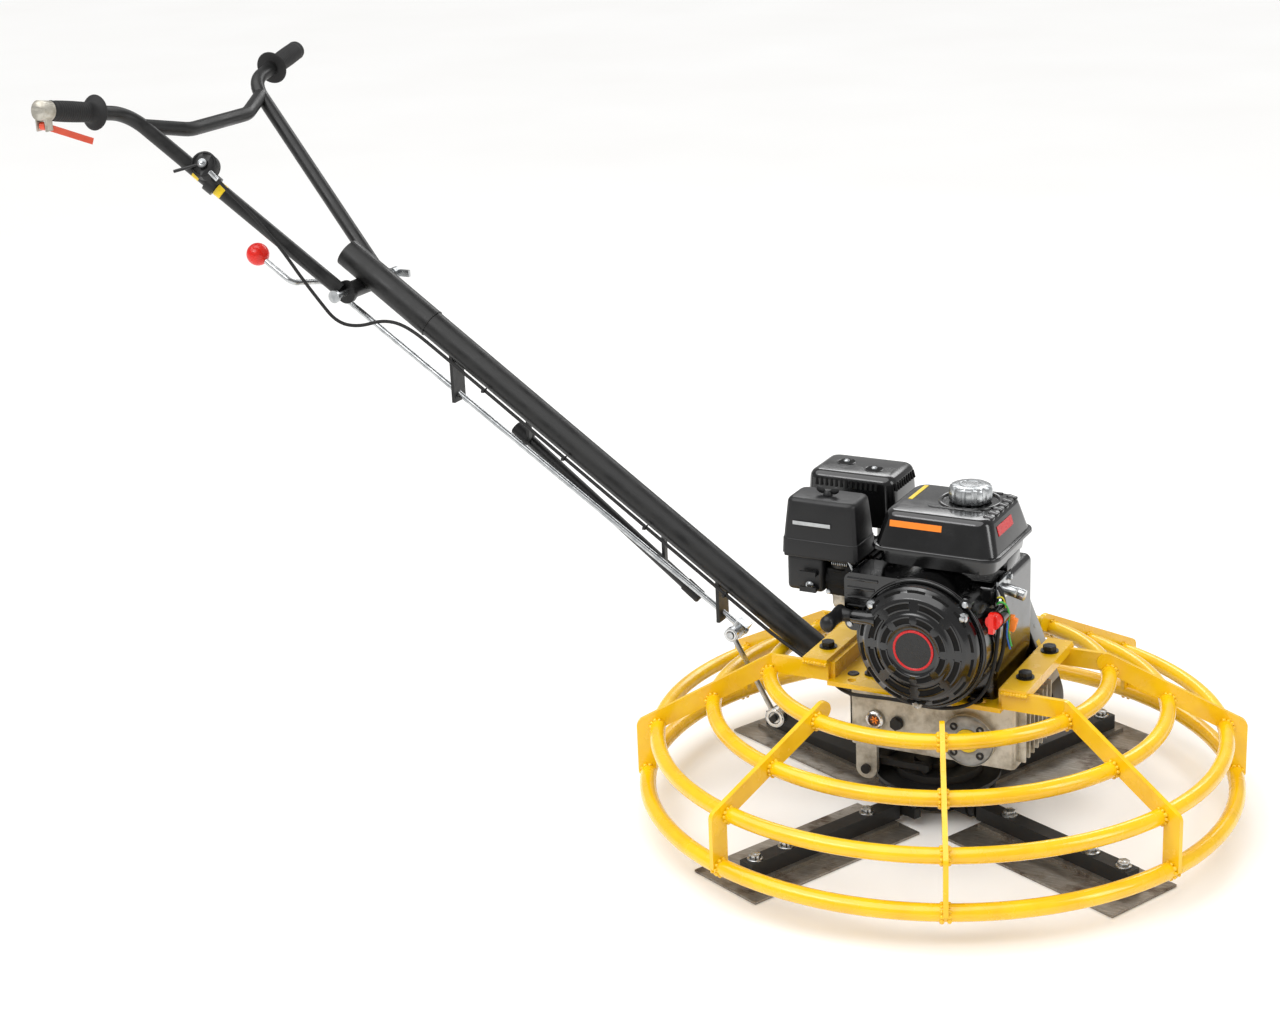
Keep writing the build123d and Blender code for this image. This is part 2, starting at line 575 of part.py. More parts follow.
def make_intake():
    """Air cleaner, carburettor and the two levers on them."""
    x0, x1 = CLEANER_X - CLEANER_LENGTH / 2, CLEANER_X + CLEANER_LENGTH / 2
    y0, y1 = CLEANER_Y - CLEANER_DEPTH / 2, CLEANER_Y + CLEANER_DEPTH / 2
    cover = soft_block(x0, x1, y0, y1, CLEANER_BOTTOM, CLEANER_TOP, 16, 10)
    base = soft_block(x0 + 8, CARB_X - CARB_HALF, y0 + 6, y0 + 66, CLEANER_BOTTOM - 62, CLEANER_BOTTOM, 8, 0)
    save("air_cleaner", cover, base)
    nut = along_z(CLEANER_X, CLEANER_Y, CLEANER_TOP + 0.3, CLEANER_TOP + 10, 6)
    for side in (-1, 1):
        wing = block(
            CLEANER_X + side * 3, CLEANER_X + side * 20, CLEANER_Y - 2, CLEANER_Y + 2,
            CLEANER_TOP + 3, CLEANER_TOP + 14,
        )
        nut = nut + wing
    save("air_cleaner_nut", nut)

    carb_y = y0 + 36
    body = soft_block(
        CARB_X - CARB_HALF, CARB_X + CARB_HALF, carb_y - 22, carb_y + 24,
        CLEANER_BOTTOM - 66, CLEANER_BOTTOM - 20, 6, 4,
    )
    bowl = along_z(CARB_X, carb_y, CLEANER_BOTTOM - 96, CLEANER_BOTTOM - 66, 18)
    bowl = fillet(bowl.faces().sort_by(Axis.Z)[0].edges(), 8)
    save("carburettor", body + bowl)
    for name, z in (("choke_lever", CLEANER_BOTTOM - 28), ("fuel_lever", CLEANER_BOTTOM - 54)):
        pin = along_y(LEVER_PIN_X, z, y0 - 2, y0 + 5.4, 5)
        save(name, pin + block(LEVER_PIN_X - 24, LEVER_PIN_X + 4, y0 - 6, y0 - 2, z - 4, z + 4))


def make_exhaust():
    """Muffler, its pipe and the slotted guard over it."""
    x0, x1 = MUFFLER_X - MUFFLER_LENGTH / 2, MUFFLER_X + MUFFLER_LENGTH / 2
    y0, y1 = MUFFLER_Y - MUFFLER_DEPTH / 2, MUFFLER_Y + MUFFLER_DEPTH / 2
    can = soft_block(x0 + 10, x1 - 10, y0 + 10, y1 - 10, MUFFLER_BOTTOM + 6, MUFFLER_TOP - 14, 20, 10)
    pipe_x = MUFFLER_X + PIPE_FORWARD
    pipe_y = MUFFLER_Y - 10
    pipe = rod((pipe_x, PORT_Y, PORT_Z), (pipe_x, pipe_y, PORT_Z), PIPE_RADIUS)
    elbow = PIPE_RADIUS + 3
    pipe = pipe + rod((pipe_x, pipe_y, PORT_Z - elbow), (pipe_x, pipe_y, MUFFLER_BOTTOM + 20), elbow)
    flange = soft_block(pipe_x - 22, pipe_x + 22, PORT_Y, PORT_Y + 6, PORT_Z - 18, PORT_Z + 18, 2, 0)
    save("muffler", can + pipe + flange)
    guard = soft_block(x0, x1, y0, y1, MUFFLER_BOTTOM, MUFFLER_TOP, 18, 14)
    guard = guard - soft_block(x0 + 3, x1 - 3, y0 + 3, y1 - 3, MUFFLER_BOTTOM - 1, MUFFLER_TOP - 3, 16, 12)
    count = 9
    for index in range(count):
        x = x0 + 30 + index * (MUFFLER_LENGTH - 60) / (count - 1)
        guard = guard - block(x - 2.5, x + 2.5, y0 - 1, y1 + 1, MUFFLER_TOP - 30, MUFFLER_TOP - 18)
    save("muffler_guard", guard)


def switch_body():
    """The stop switch's box on the shroud's right side."""
    x = CRANK_X + SHROUD_RADIUS + 6
    z = CRANK_Z + 48
    body = along_y(x, z, -100, -128, 14) + block(CRANK_X + 70, x, -118, -104, z - 8, z + 8)
    return body - along_y(CRANK_X, CRANK_Z, -200, 0, SHROUD_RADIUS)


def make_engine_switch():
    """The turning knob of the stop switch."""
    x = CRANK_X + SHROUD_RADIUS + 6
    z = CRANK_Z + 48
    knob = along_y(x, z, -128.4, -142, 12)
    save("engine_switch", knob + block(x - 4, x + 4, -150, -140, z - 16, z + 16))


# ---- Rotor ----

def radial(angle, shape):
    """Turn a shape that was drawn along +X to a plan angle."""
    return Rot(0, 0, angle) * shape


def make_rotor():
    """Spider hub, arms with their lift levers, and blades."""
    hub = along_z(0, 0, HUB_BOTTOM, HUB_TOP, HUB_RADIUS)
    hub = hub + along_z(0, 0, HUB_BOTTOM, HUB_BOTTOM + 6, HUB_RADIUS + 10)
    angles = [ARM_FIRST_ANGLE + index * 360 / ARM_COUNT for index in range(ARM_COUNT)]
    for angle in angles:
        hub = hub + radial(angle, rod((20, 0, ARM_AXIS_Z), (BOSS_END, 0, ARM_AXIS_Z), BOSS_RADIUS))
    for angle in angles:
        bore = rod((SPINDLE_START - 1, 0, ARM_AXIS_Z), (BOSS_END + 1, 0, ARM_AXIS_Z), SPINDLE_RADIUS + RUN)
        hub = hub - radial(angle, bore)
    hub = hub - along_z(0, 0, HUB_BOTTOM + 2, HUB_TOP + 1, OUTPUT_RADIUS)
    save("spider_hub", hub)

    bar_low = BLADE_THICKNESS + BLADE_BAR_THICKNESS
    half = ARM_BAR_WIDTH / 2
    for index, angle in enumerate(angles):
        arm = rod((SPINDLE_START, 0, ARM_AXIS_Z), (ARM_START + 10, 0, ARM_AXIS_Z), SPINDLE_RADIUS)
        arm = arm + block(ARM_START, ARM_END, -half, half, bar_low, ARM_BAR_TOP)
        lever_x0 = LIFT_LEVER_AT - 7
        lever = block(lever_x0, lever_x0 + 14, 0, LIFT_LEVER_REACH + 7, ARM_AXIS_Z - 6, ARM_AXIS_Z + 10)
        lever = lever + rod((lever_x0, 0, ARM_AXIS_Z), (lever_x0 + 14, 0, ARM_AXIS_Z), 16)
        tip_top = PRESSURE_PLATE_BOTTOM - 0.3
        lever = lever + along_z(LIFT_LEVER_AT, LIFT_LEVER_REACH, ARM_AXIS_Z + 9, tip_top, 5)
        arm = arm + lever
        strip_half = BLADE_BAR_WIDTH / 2
        strip = block(BLADE_START + 10, ARM_END + 12, -strip_half, strip_half, BLADE_THICKNESS, bar_low)
        bolts = []
        for x in BLADE_BOLTS:
            hole = along_z(x, 0, -1, ARM_BAR_TOP + 1, BLADE_BOLT_RADIUS)
            arm = arm - hole
            strip = strip - hole
            bolts.append(bolt(x, 0, BLADE_THICKNESS, ARM_BAR_TOP, BLADE_BOLT_RADIUS))
        save("arm_%d" % (index + 1), *[radial(angle, item) for item in (arm, *bolts)])
        y0 = -BLADE_OFFSET - BLADE_WIDTH / 2
        blade = block(BLADE_START, BLADE_START + BLADE_LENGTH, y0, y0 + BLADE_WIDTH, 0, BLADE_THICKNESS)
        save("blade_%d" % (index + 1), radial(angle, blade + strip))


def make_pitch_control():
    """Pressure plate, thrust collar, yoke, link and nut."""
    plate = along_z(0, 0, PRESSURE_PLATE_BOTTOM, PRESSURE_PLATE_TOP, PRESSURE_PLATE_RADIUS)
    save("pressure_plate", plate - along_z(0, 0, 0, HUB_TOP, HUB_RADIUS + 0.3))
    collar = along_z(0, 0, COLLAR_BOTTOM, COLLAR_TOP, COLLAR_RADIUS)
    save("thrust_collar", collar - along_z(0, 0, 0, HUB_TOP + 20, HUB_RADIUS + 1.5))

    yoke = along_y(YOKE_X, YOKE_Z, -BOX_HALF_DEPTH + 10, BOX_HALF_DEPTH - 10, YOKE_TUBE_RADIUS)
    for side in (-1, 1):
        y = side * YOKE_TINE_Y
        tine = block(YOKE_X, 8, y - 6, y + 6, COLLAR_TOP + 4.6, COLLAR_TOP + 15)
        shoe = along_y(0, COLLAR_TOP + GAP + 6, y - 6, y + 6, 6)
        yoke = yoke + tine + shoe
    lean = degrees(atan2(EYE_Z - YOKE_Z, EYE_X - YOKE_X))
    reach = hypot(EYE_Z - YOKE_Z, EYE_X - YOKE_X)
    lever_y = EYE_Y + 5 + GAP
    arm = Plane.XZ * (Rectangle(reach, 26) + Pos(reach / 2, 0) * Circle(15))
    lever = Pos((EYE_X + YOKE_X) / 2, lever_y + 8, (EYE_Z + YOKE_Z) / 2) * Rot(0, -lean, 0) * extrude(arm, 8)
    yoke = yoke + lever
    yoke = yoke - along_y(YOKE_X, YOKE_Z, -90, 90, YOKE_PIN_RADIUS + RUN)
    yoke = yoke + along_y(EYE_X, EYE_Z, EYE_Y - 13, lever_y + 12, EYE_PIN_RADIUS)
    save("pitch_yoke", yoke)

    link = rod((EYE_X, EYE_Y, EYE_Z), (ROD_LOW_X, EYE_Y, ROD_LOW_Z), 4.6)
    for x, z, size in ((EYE_X, EYE_Z, 17), (ROD_LOW_X, ROD_LOW_Z, 12)):
        link = link + along_y(x, z, EYE_Y - 5, EYE_Y + 5, size)
    link = link - along_y(EYE_X, EYE_Z, EYE_Y - 6, EYE_Y + 6, EYE_PIN_RADIUS + RUN)
    link = link - along_y(ROD_LOW_X, ROD_LOW_Z, EYE_Y - 6, EYE_Y + 6, 6.5)
    save("pitch_link", link)


# ---- Handle ----

def make_handle():
    """Main tube with its foot, pivot tube, rod brackets and lifting pole."""
    foot_x = BOX_LEFT - FOOT_THICKNESS
    reach = (foot_x - TUBE_TOP_X) / TUBE_DX + 60
    end = on_tube(reach)
    tube = rod((TUBE_TOP_X, 0, TUBE_TOP_Z), (end[0], 0, end[1]), TUBE_RADIUS)
    sleeve_end = on_tube(200)
    tube = tube + rod((TUBE_TOP_X, 0, TUBE_TOP_Z), (sleeve_end[0], 0, sleeve_end[1]), TUBE_RADIUS + 1.2)
    tube = tube + along_y(PIVOT_X, PIVOT_Z, -PIVOT_HALF, PIVOT_HALF, PIVOT_TUBE_RADIUS)
    tube = tube - block(foot_x, 0, -60, 60, 0, 400)
    cap_in = on_tube(4)
    tube = tube - rod((cap_in[0], 0, cap_in[1]), (end[0], 0, end[1]), TUBE_RADIUS - TUBE_WALL)
    tube = tube - along_y(PIVOT_X, PIVOT_Z, -PIVOT_HALF - 1, PIVOT_HALF + 1, PIVOT_BOLT_RADIUS)
    foot = block(foot_x, BOX_LEFT, -52, 52, BOX_BOTTOM + 6, BOX_TOP - 8)
    for distance, half in ((255.0, 3.0), (860.0, 3.0)):
        x, z = on_tube(distance)
        below = rod_point_below(x)
        plate = block(x - half, x + half, -18, 18, below - 14, z)
        plate = plate - rod((TUBE_TOP_X, 0, TUBE_TOP_Z), (end[0], 0, end[1]), TUBE_RADIUS - 1)
        above = (x - 40, 0, rod_point_below(x - 40))
        below = (x + 40, 0, rod_point_below(x + 40))
        plate = plate - rod(above, below, ROD_RADIUS + RUN)
        lower = sorted(plate.solids(), key=lambda item: item.center().Z)[0]
        tube = tube + lower
    for x in (POLE_TOP[0] + 30, POLE_LOW[0] - 60):
        share = (x - POLE_TOP[0]) / (POLE_LOW[0] - POLE_TOP[0])
        pole_z = POLE_TOP[1] + share * (POLE_LOW[1] - POLE_TOP[1])
        _, z = on_tube((x - TUBE_TOP_X) / TUBE_DX)
        clip = block(x - 3, x + 3, POLE_Y - 13, POLE_Y - 3, pole_z, z)
        clip = clip - rod((TUBE_TOP_X, 0, TUBE_TOP_Z), (end[0], 0, end[1]), TUBE_RADIUS - 1)
        clip = clip - rod((POLE_TOP[0], POLE_Y, POLE_TOP[1]), (POLE_LOW[0], POLE_Y, POLE_LOW[1]), POLE_RADIUS)
        tube = tube + sorted(clip.solids(), key=lambda item: item.center().Z)[0]
    save("main_tube", tube, foot)
    pole = rod((POLE_TOP[0], POLE_Y, POLE_TOP[1]), (POLE_LOW[0], POLE_Y, POLE_LOW[1]), POLE_RADIUS)
    save("lifting_pole", pole)


def rod_point_below(x):
    """The height of the crank rod's axis at x."""
    share = (x - ROD_TOP_X) / (ROD_LOW_X - ROD_TOP_X)
    return ROD_TOP_Z + share * (ROD_LOW_Z - ROD_TOP_Z)


def make_pitch_crank():
    """Crank rod with its offset handle, knob, and the nut it drives."""
    run = hypot(ROD_LOW_X - ROD_TOP_X, ROD_LOW_Z - ROD_TOP_Z)
    ux = (ROD_LOW_X - ROD_TOP_X) / run
    uz = (ROD_LOW_Z - ROD_TOP_Z) / run
    low = (ROD_LOW_X + 14 * ux, 0, ROD_LOW_Z + 14 * uz)
    top = (ROD_TOP_X, 0, ROD_TOP_Z)
    side = (ROD_TOP_X - 22 * ux, -CRANK_ARM, ROD_TOP_Z - 22 * uz)
    ball = (side[0] - CRANK_HANDLE * ux, -CRANK_ARM, side[2] - CRANK_HANDLE * uz)
    save("crank_rod", pipe((low, top, side, ball), 16, ROD_RADIUS))
    knob = Pos(*ball) * Sphere(KNOB_RADIUS) - rod(side, ball, ROD_RADIUS)
    save("crank_knob", knob)
    centre = Plane(origin=(ROD_LOW_X, 0, ROD_LOW_Z), x_dir=(0, 1, 0), z_dir=(ux, 0, uz))
    nut = centre * Box(2 * NUT_HALF, 2 * NUT_HALF, 22)
    nut = nut + along_y(ROD_LOW_X, ROD_LOW_Z, -NUT_HALF, EYE_Y - 9, 6)
    bore_top = (low[0] - 60 * ux, 0, low[2] - 60 * uz)
    bore_low = (low[0] + 20 * ux, 0, low[2] + 20 * uz)
    nut = nut - rod(bore_top, bore_low, ROD_RADIUS + RUN)
    save("pitch_nut", nut)


def mirrored(point, side):
    """A handle point on one side: +1 is +Y, -1 is -Y."""
    return (point[0], side * point[1], point[2])


def make_handlebar():
    """The bent handlebar with its crossbar, lugs, grips and controls."""
    lug_y = PIVOT_HALF + GAP + LUG_THICKNESS / 2
    bar_y = lug_y + LUG_THICKNESS / 2 + 7
    elbow = tuple(a - (b - a) * ELBOW_BACK for a, b in zip(GRIP_START, GRIP_END))
    tip = tuple(b + (b - a) * 0.02 for a, b in zip(GRIP_START, GRIP_END))
    low = (PIVOT_X - 6, bar_y, PIVOT_Z + 6)
    weld = tuple(a + (b - a) * CROSS_AT for a, b in zip(low, elbow))
    bars = []
    for side in (-1, 1):
        start = mirrored(low, side)
        points = (start, mirrored(elbow, side), mirrored(tip, side))
        bars.append(pipe(points, 60, BAR_RADIUS, BAR_RADIUS - BAR_WALL))
    frame = bars[0] + bars[1]
    cross = pipe(
        (mirrored(weld, -1), mirrored(CROSS_BEND, -1), mirrored(CROSS_BEND, 1), mirrored(weld, 1)),
        60, BAR_RADIUS, BAR_RADIUS - BAR_WALL,
    )
    frame = frame + cross
    for side in (-1, 1):
        y0 = side * lug_y - LUG_THICKNESS / 2
        lug = along_y(PIVOT_X, PIVOT_Z, y0, y0 + LUG_THICKNESS, 20)
        frame = frame + lug
    frame = frame - along_y(PIVOT_X, PIVOT_Z, -120, 120, PIVOT_BOLT_RADIUS + RUN)
    save("handlebar", frame)
    grips = []
    for side in (-1, 1):
        a = Vector(*mirrored(GRIP_START, side))
        b = Vector(*mirrored(GRIP_END, side))
        way = (b - a).normalized()
        grip = rod(a, b - way * 6, GRIP_RADIUS) + rod(a, a + way * 9, FLANGE_RADIUS)
        grip = grip - rod(a - way * 5, b + way * 5, BAR_RADIUS)
        grips.append(grip)
    save("handle_grips", *grips)
    bolt_reach = bar_y + 22
    pin = along_y(PIVOT_X, PIVOT_Z, -bolt_reach, bolt_reach + 6, PIVOT_BOLT_RADIUS)
    pin = pin + along_y(PIVOT_X, PIVOT_Z, -bolt_reach - 6, -bolt_reach, 11)
    save("pivot_bolt", pin)
    hub_y = bolt_reach + 6.4
    wing = along_y(PIVOT_X, PIVOT_Z, hub_y, hub_y + 16, 10)
    wing = wing + block(PIVOT_X - 30, PIVOT_X + 30, hub_y + 8, hub_y + 14, PIVOT_Z - 6, PIVOT_Z + 6)
    save("clamp_handle", wing)
    make_controls(low, elbow)


def make_controls(low, elbow):
    """Throttle box and lever on the -Y side tube, and the stop lever on its grip."""
    a = Vector(*mirrored(low, -1))
    way = (Vector(*mirrored(elbow, -1)) - a).normalized()
    seat = a + way * THROTTLE_AT
    face = Vector(0.25, -0.8, 0.5).normalized()
    centre = seat + Vector(0, -14, 33)
    box = rod(centre - face * 11, centre + face * 11, THROTTLE_RADIUS)
    strap = rod(seat - way * 9, seat + way * 9, BAR_RADIUS + 5)
    box = box + strap - rod(seat - way * 60, seat + way * 60, BAR_RADIUS)
    lever = rod(centre + face * 11.4, centre + face * 18, 9)
    reach = (Vector(-53, -20, -17) - face * Vector(-53, -20, -17).dot(face)).normalized()
    lever = lever + rod(centre + face * 14.6, centre + face * 14.6 + reach * 52, 2.8)
    save("throttle_lever", lever)

    end = Vector(*mirrored(GRIP_END, -1))
    start = Vector(*mirrored(GRIP_START, -1))
    out = (end - start).normalized()
    clamp = rod(end - out * 4, end + out * 24, BAR_RADIUS + 4)
    pivot = end + out * 14 + Vector(0, 0, -BAR_RADIUS - 13)
    for side in (-1, 1):
        cheek_x = pivot.X + side * 9.5
        clamp = clamp + block(cheek_x - 1.5, cheek_x + 1.5, pivot.Y - 8, pivot.Y + 8, pivot.Z - 8, pivot.Z + 18)
    clamp = clamp - rod(start, end + out * 6, BAR_RADIUS)
    clamp = clamp + rod((pivot.X - 11, pivot.Y, pivot.Z), (pivot.X + 11, pivot.Y, pivot.Z), 3)
    save("control_clamps", box, clamp)
    tip = pivot + Vector(16, 94, -41)
    span = tip - pivot
    flat = Vector(span.Y, -span.X, 0)
    blade = Plane(origin=pivot + span * 0.5, x_dir=span, z_dir=flat) * Box(span.length, 11, 3)
    blade = blade + rod((pivot.X - 5.5, pivot.Y, pivot.Z), (pivot.X + 5.5, pivot.Y, pivot.Z), 7)
    blade = blade - rod((pivot.X - 12, pivot.Y, pivot.Z), (pivot.X + 12, pivot.Y, pivot.Z), 3 + RUN)
    save("stop_lever", blade)
    for name, points in (("throttle_cable_upper", CABLE_UPPER), ("throttle_cable_lower", CABLE_LOWER)):
        radii = arc_radii(points)
        print(name, "arc radii", [round(radius) for radius in radii])
        save(name, pipe(points, radii, CABLE_RADIUS))


def main():
    make_guard()
    make_base_plate()
    make_gearbox()
    make_belt_drive()
    make_crankcase()
    make_recoil_starter()
    make_tank()
    make_intake()
    make_exhaust()
    make_engine_switch()
    make_rotor()
    make_pitch_control()
    make_handle()
    make_pitch_crank()
    make_handlebar()


main()
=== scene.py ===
"""A walk-behind power trowel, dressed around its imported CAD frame."""
import json
import math
import random

import bmesh
import bpy
from bpy.props import FloatProperty, FloatVectorProperty, IntProperty, PointerProperty
from mathutils import Matrix, Vector


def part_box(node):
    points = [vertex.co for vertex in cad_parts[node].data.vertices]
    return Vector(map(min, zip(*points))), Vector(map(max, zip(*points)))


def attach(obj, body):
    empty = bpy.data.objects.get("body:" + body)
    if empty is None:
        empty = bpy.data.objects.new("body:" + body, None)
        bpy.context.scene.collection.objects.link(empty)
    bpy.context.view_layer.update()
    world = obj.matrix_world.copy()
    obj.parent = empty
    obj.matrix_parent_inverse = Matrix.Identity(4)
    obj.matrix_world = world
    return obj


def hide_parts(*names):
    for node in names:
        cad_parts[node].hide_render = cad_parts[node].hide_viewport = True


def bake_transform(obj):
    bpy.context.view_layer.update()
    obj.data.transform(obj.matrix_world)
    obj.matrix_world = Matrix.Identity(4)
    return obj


bl_info = {
    "name": "Power Trowel",
    "version": (1, 0, 0),
    "blender": (4, 5, 0),
    "location": "View3D > Sidebar > Trowel",
    "description": "Builds the looks of a walk-behind power trowel around its CAD frame",
    "category": "Object",
}

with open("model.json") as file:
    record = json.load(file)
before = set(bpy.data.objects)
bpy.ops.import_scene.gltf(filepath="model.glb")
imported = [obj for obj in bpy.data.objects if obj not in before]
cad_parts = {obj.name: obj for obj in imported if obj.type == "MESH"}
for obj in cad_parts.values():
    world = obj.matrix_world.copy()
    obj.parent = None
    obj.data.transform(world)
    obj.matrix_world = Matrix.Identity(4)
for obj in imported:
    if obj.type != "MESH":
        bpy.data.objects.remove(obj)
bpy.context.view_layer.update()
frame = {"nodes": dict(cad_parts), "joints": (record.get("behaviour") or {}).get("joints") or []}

MM = 0.001
UP = Vector((0, 0, 1))


def mm(*numbers):
    """A place or size given in millimetres, in metres."""
    return Vector(numbers) * MM


# ---- Small tools ----

def colour(code):
    """sRGB hex to a linear RGBA colour."""
    parts = [int(code[i:i + 2], 16) / 255 for i in (0, 2, 4)]
    linear = [c / 12.92 if c <= 0.04045 else ((c + 0.055) / 1.055) ** 2.4 for c in parts]
    return (*linear, 1.0)


def add(tree, kind, inputs=None, **settings):
    """Adds a shader node, sets it, and fills its inputs with values or links."""
    made = tree.nodes.new(kind)
    for name, value in settings.items():
        setattr(made, name, value)
    for key, value in (inputs or {}).items():
        if isinstance(value, bpy.types.NodeSocket):
            tree.links.new(value, made.inputs[key])
        else:
            made.inputs[key].default_value = value
    return made


def new_material(name, **constants):
    """A material with one Principled shader; returns it, its tree, the shader and a millimetre vector."""
    made = bpy.data.materials.new(name)
    made.use_nodes = True
    tree = made.node_tree
    shader = tree.nodes["Principled BSDF"]
    for key, value in constants.items():
        shader.inputs[key.replace("_", " ")].default_value = value
    place = add(tree, "ShaderNodeTexCoord")
    scaled = add(tree, "ShaderNodeVectorMath", {0: place.outputs["Object"], "Scale": 1 / MM},
                 operation="SCALE")
    return made, tree, shader, scaled.outputs[0]


def noise(tree, where, size_mm, detail=3.0, rough=0.5):
    """Noise whose features are about size_mm across."""
    made = add(tree, "ShaderNodeTexNoise", {"Vector": where, "Scale": 1 / size_mm, "Detail": detail,
                                            "Roughness": rough})
    return made.outputs["Fac"]


def ramp(tree, value, stops):
    """A colour ramp from (position, colour) pairs."""
    made = add(tree, "ShaderNodeValToRGB", {"Fac": value})
    bar = made.color_ramp.elements
    while len(bar) < len(stops):
        bar.new(0.5)
    for element, (position, shade) in zip(bar, stops):
        element.position = position
        element.color = shade
    return made.outputs["Color"]


def spread(tree, value, low, high, low_at=0.3, high_at=0.7):
    """Maps a value to the range low..high."""
    made = add(tree, "ShaderNodeMapRange", {
        "Value": value, "From Min": low_at, "From Max": high_at, "To Min": low, "To Max": high,
    })
    return made.outputs["Result"]


def mix(tree, share, one, two):
    """Mixes two colours by a share."""
    made = add(tree, "ShaderNodeMix", data_type="RGBA")
    for index, value in ((0, share), (6, one), (7, two)):
        if isinstance(value, bpy.types.NodeSocket):
            tree.links.new(value, made.inputs[index])
        else:
            made.inputs[index].default_value = value
    return made.outputs[2]


def bump(tree, shader, height, strength, distance_mm):
    """Gives the shader a bump."""
    made = add(tree, "ShaderNodeBump", {"Height": height, "Strength": strength, "Distance": distance_mm * MM})
    tree.links.new(made.outputs["Normal"], shader.inputs["Normal"])


# ---- Materials ----

def enamel(name, base, deep, chip, roughness, chips_at, coat=0.4):
    """Sprayed enamel: gloss with a faint orange peel, cloudy film depth, and small chips to primer."""
    made, tree, shader, where = new_material(name, Coat_Weight=coat, Coat_Roughness=0.12)
    cloud = noise(tree, where, 60, 3)
    film = ramp(tree, cloud, [(0.35, colour(deep)), (0.65, colour(base))])
    speck = noise(tree, where, 7, 6, 0.65)
    worn = spread(tree, speck, 0, 1, chips_at, chips_at + 0.02)
    tree.links.new(mix(tree, worn, film, colour(chip)), shader.inputs["Base Color"])
    smear = noise(tree, where, 25, 4)
    tree.links.new(spread(tree, smear, roughness - 0.05, roughness + 0.12), shader.inputs["Roughness"])
    # Real orange peel is about 1 mm across; it is drawn at 2.5 mm so that it shows.
    bump(tree, shader, noise(tree, where, 2.5, 2), 0.06, 0.4)
    return made


def powder_coat(name, base, roughness):
    """Black powder coat on steel: satin, finely pebbled, a little dust in the film."""
    made, tree, shader, where = new_material(name)
    dust = noise(tree, where, 35, 5, 0.6)
    tree.links.new(ramp(tree, dust, [(0.4, colour(base)), (0.85, colour("1d1d1c"))]),
                   shader.inputs["Base Color"])
    tree.links.new(spread(tree, dust, roughness - 0.05, roughness + 0.18), shader.inputs["Roughness"])
    bump(tree, shader, noise(tree, where, 1.6, 2), 0.12, 0.3)
    return made


def moulded(name, base, lighter, roughness, grain_mm=0.9, depth=0.25):
    """Injection-moulded ABS or nylon: even colour with a fine spark-eroded grain."""
    made, tree, shader, where = new_material(name)
    cloud = noise(tree, where, 45, 4, 0.6)
    tree.links.new(ramp(tree, cloud, [(0.35, colour(base)), (0.75, colour(lighter))]),
                   shader.inputs["Base Color"])
    tree.links.new(spread(tree, cloud, roughness - 0.06, roughness + 0.1), shader.inputs["Roughness"])
    bump(tree, shader, noise(tree, where, grain_mm, 2), depth, 0.2)
    return made


def cast_metal(name, base, stain, roughness):
    """Sand-cast aluminium: pale grey, grainy, stained where oil and cement sat on it."""
    made, tree, shader, where = new_material(name, Metallic=0.75)
    blotch = noise(tree, where, 30, 6, 0.65)
    tree.links.new(ramp(tree, blotch, [(0.42, colour(base)), (0.72, colour(stain))]),
                   shader.inputs["Base Color"])
    tree.links.new(spread(tree, blotch, roughness - 0.08, roughness + 0.15), shader.inputs["Roughness"])
    bump(tree, shader, noise(tree, where, 1.8, 4, 0.7), 0.35, 0.4)
    return made


def plated(name, base, tint, roughness):
    """Zinc-plated or polished steel: bright with a faint cloudy passivation."""
    made, tree, shader, where = new_material(name, Metallic=1.0)
    cloud = noise(tree, where, 14, 4)
    tree.links.new(ramp(tree, cloud, [(0.35, colour(base)), (0.7, colour(tint))]),
                   shader.inputs["Base Color"])
    tree.links.new(spread(tree, cloud, roughness - 0.06, roughness + 0.1), shader.inputs["Roughness"])
    bump(tree, shader, noise(tree, where, 0.8, 2), 0.05, 0.1)
    return made


def trowel_steel(name):
    """Spring-steel blade: ground by sand into fine arcs, with brown stain and dried cement film."""
    made, tree, shader, where = new_material(name, Metallic=0.85)
    stain = noise(tree, where, 55, 7, 0.62)
    base = ramp(tree, stain, [(0.3, colour("7c776f")), (0.5, colour("8f8a82")), (0.66, colour("5a4c40"))])
    stretched = add(tree, "ShaderNodeMapping", {
        "Vector": where, "Scale": (0.06, 1.0, 1.0), "Rotation": (0, 0, 0.4),
    })
    scratch = noise(tree, stretched.outputs[0], 1.6, 4, 0.7)
    lines = spread(tree, scratch, 0, 1, 0.5, 0.75)
    tree.links.new(mix(tree, lines, base, colour("b9b5ae")), shader.inputs["Base Color"])
    tree.links.new(spread(tree, stain, 0.3, 0.62), shader.inputs["Roughness"])
    bump(tree, shader, scratch, 0.12, 0.2)
    return made


def plain_film(name, base, roughness, **constants):
    """A printed film, cord cover or clear part with slight unevenness and no print."""
    made, tree, shader, where = new_material(name, **constants)
    cloud = noise(tree, where, 9, 3)
    shade = colour(base)
    darker = (*[c * 0.82 for c in shade[:3]], 1.0)
    tree.links.new(ramp(tree, cloud, [(0.3, darker), (0.7, shade)]), shader.inputs["Base Color"])
    tree.links.new(spread(tree, cloud, roughness - 0.04, roughness + 0.08), shader.inputs["Roughness"])
    return made


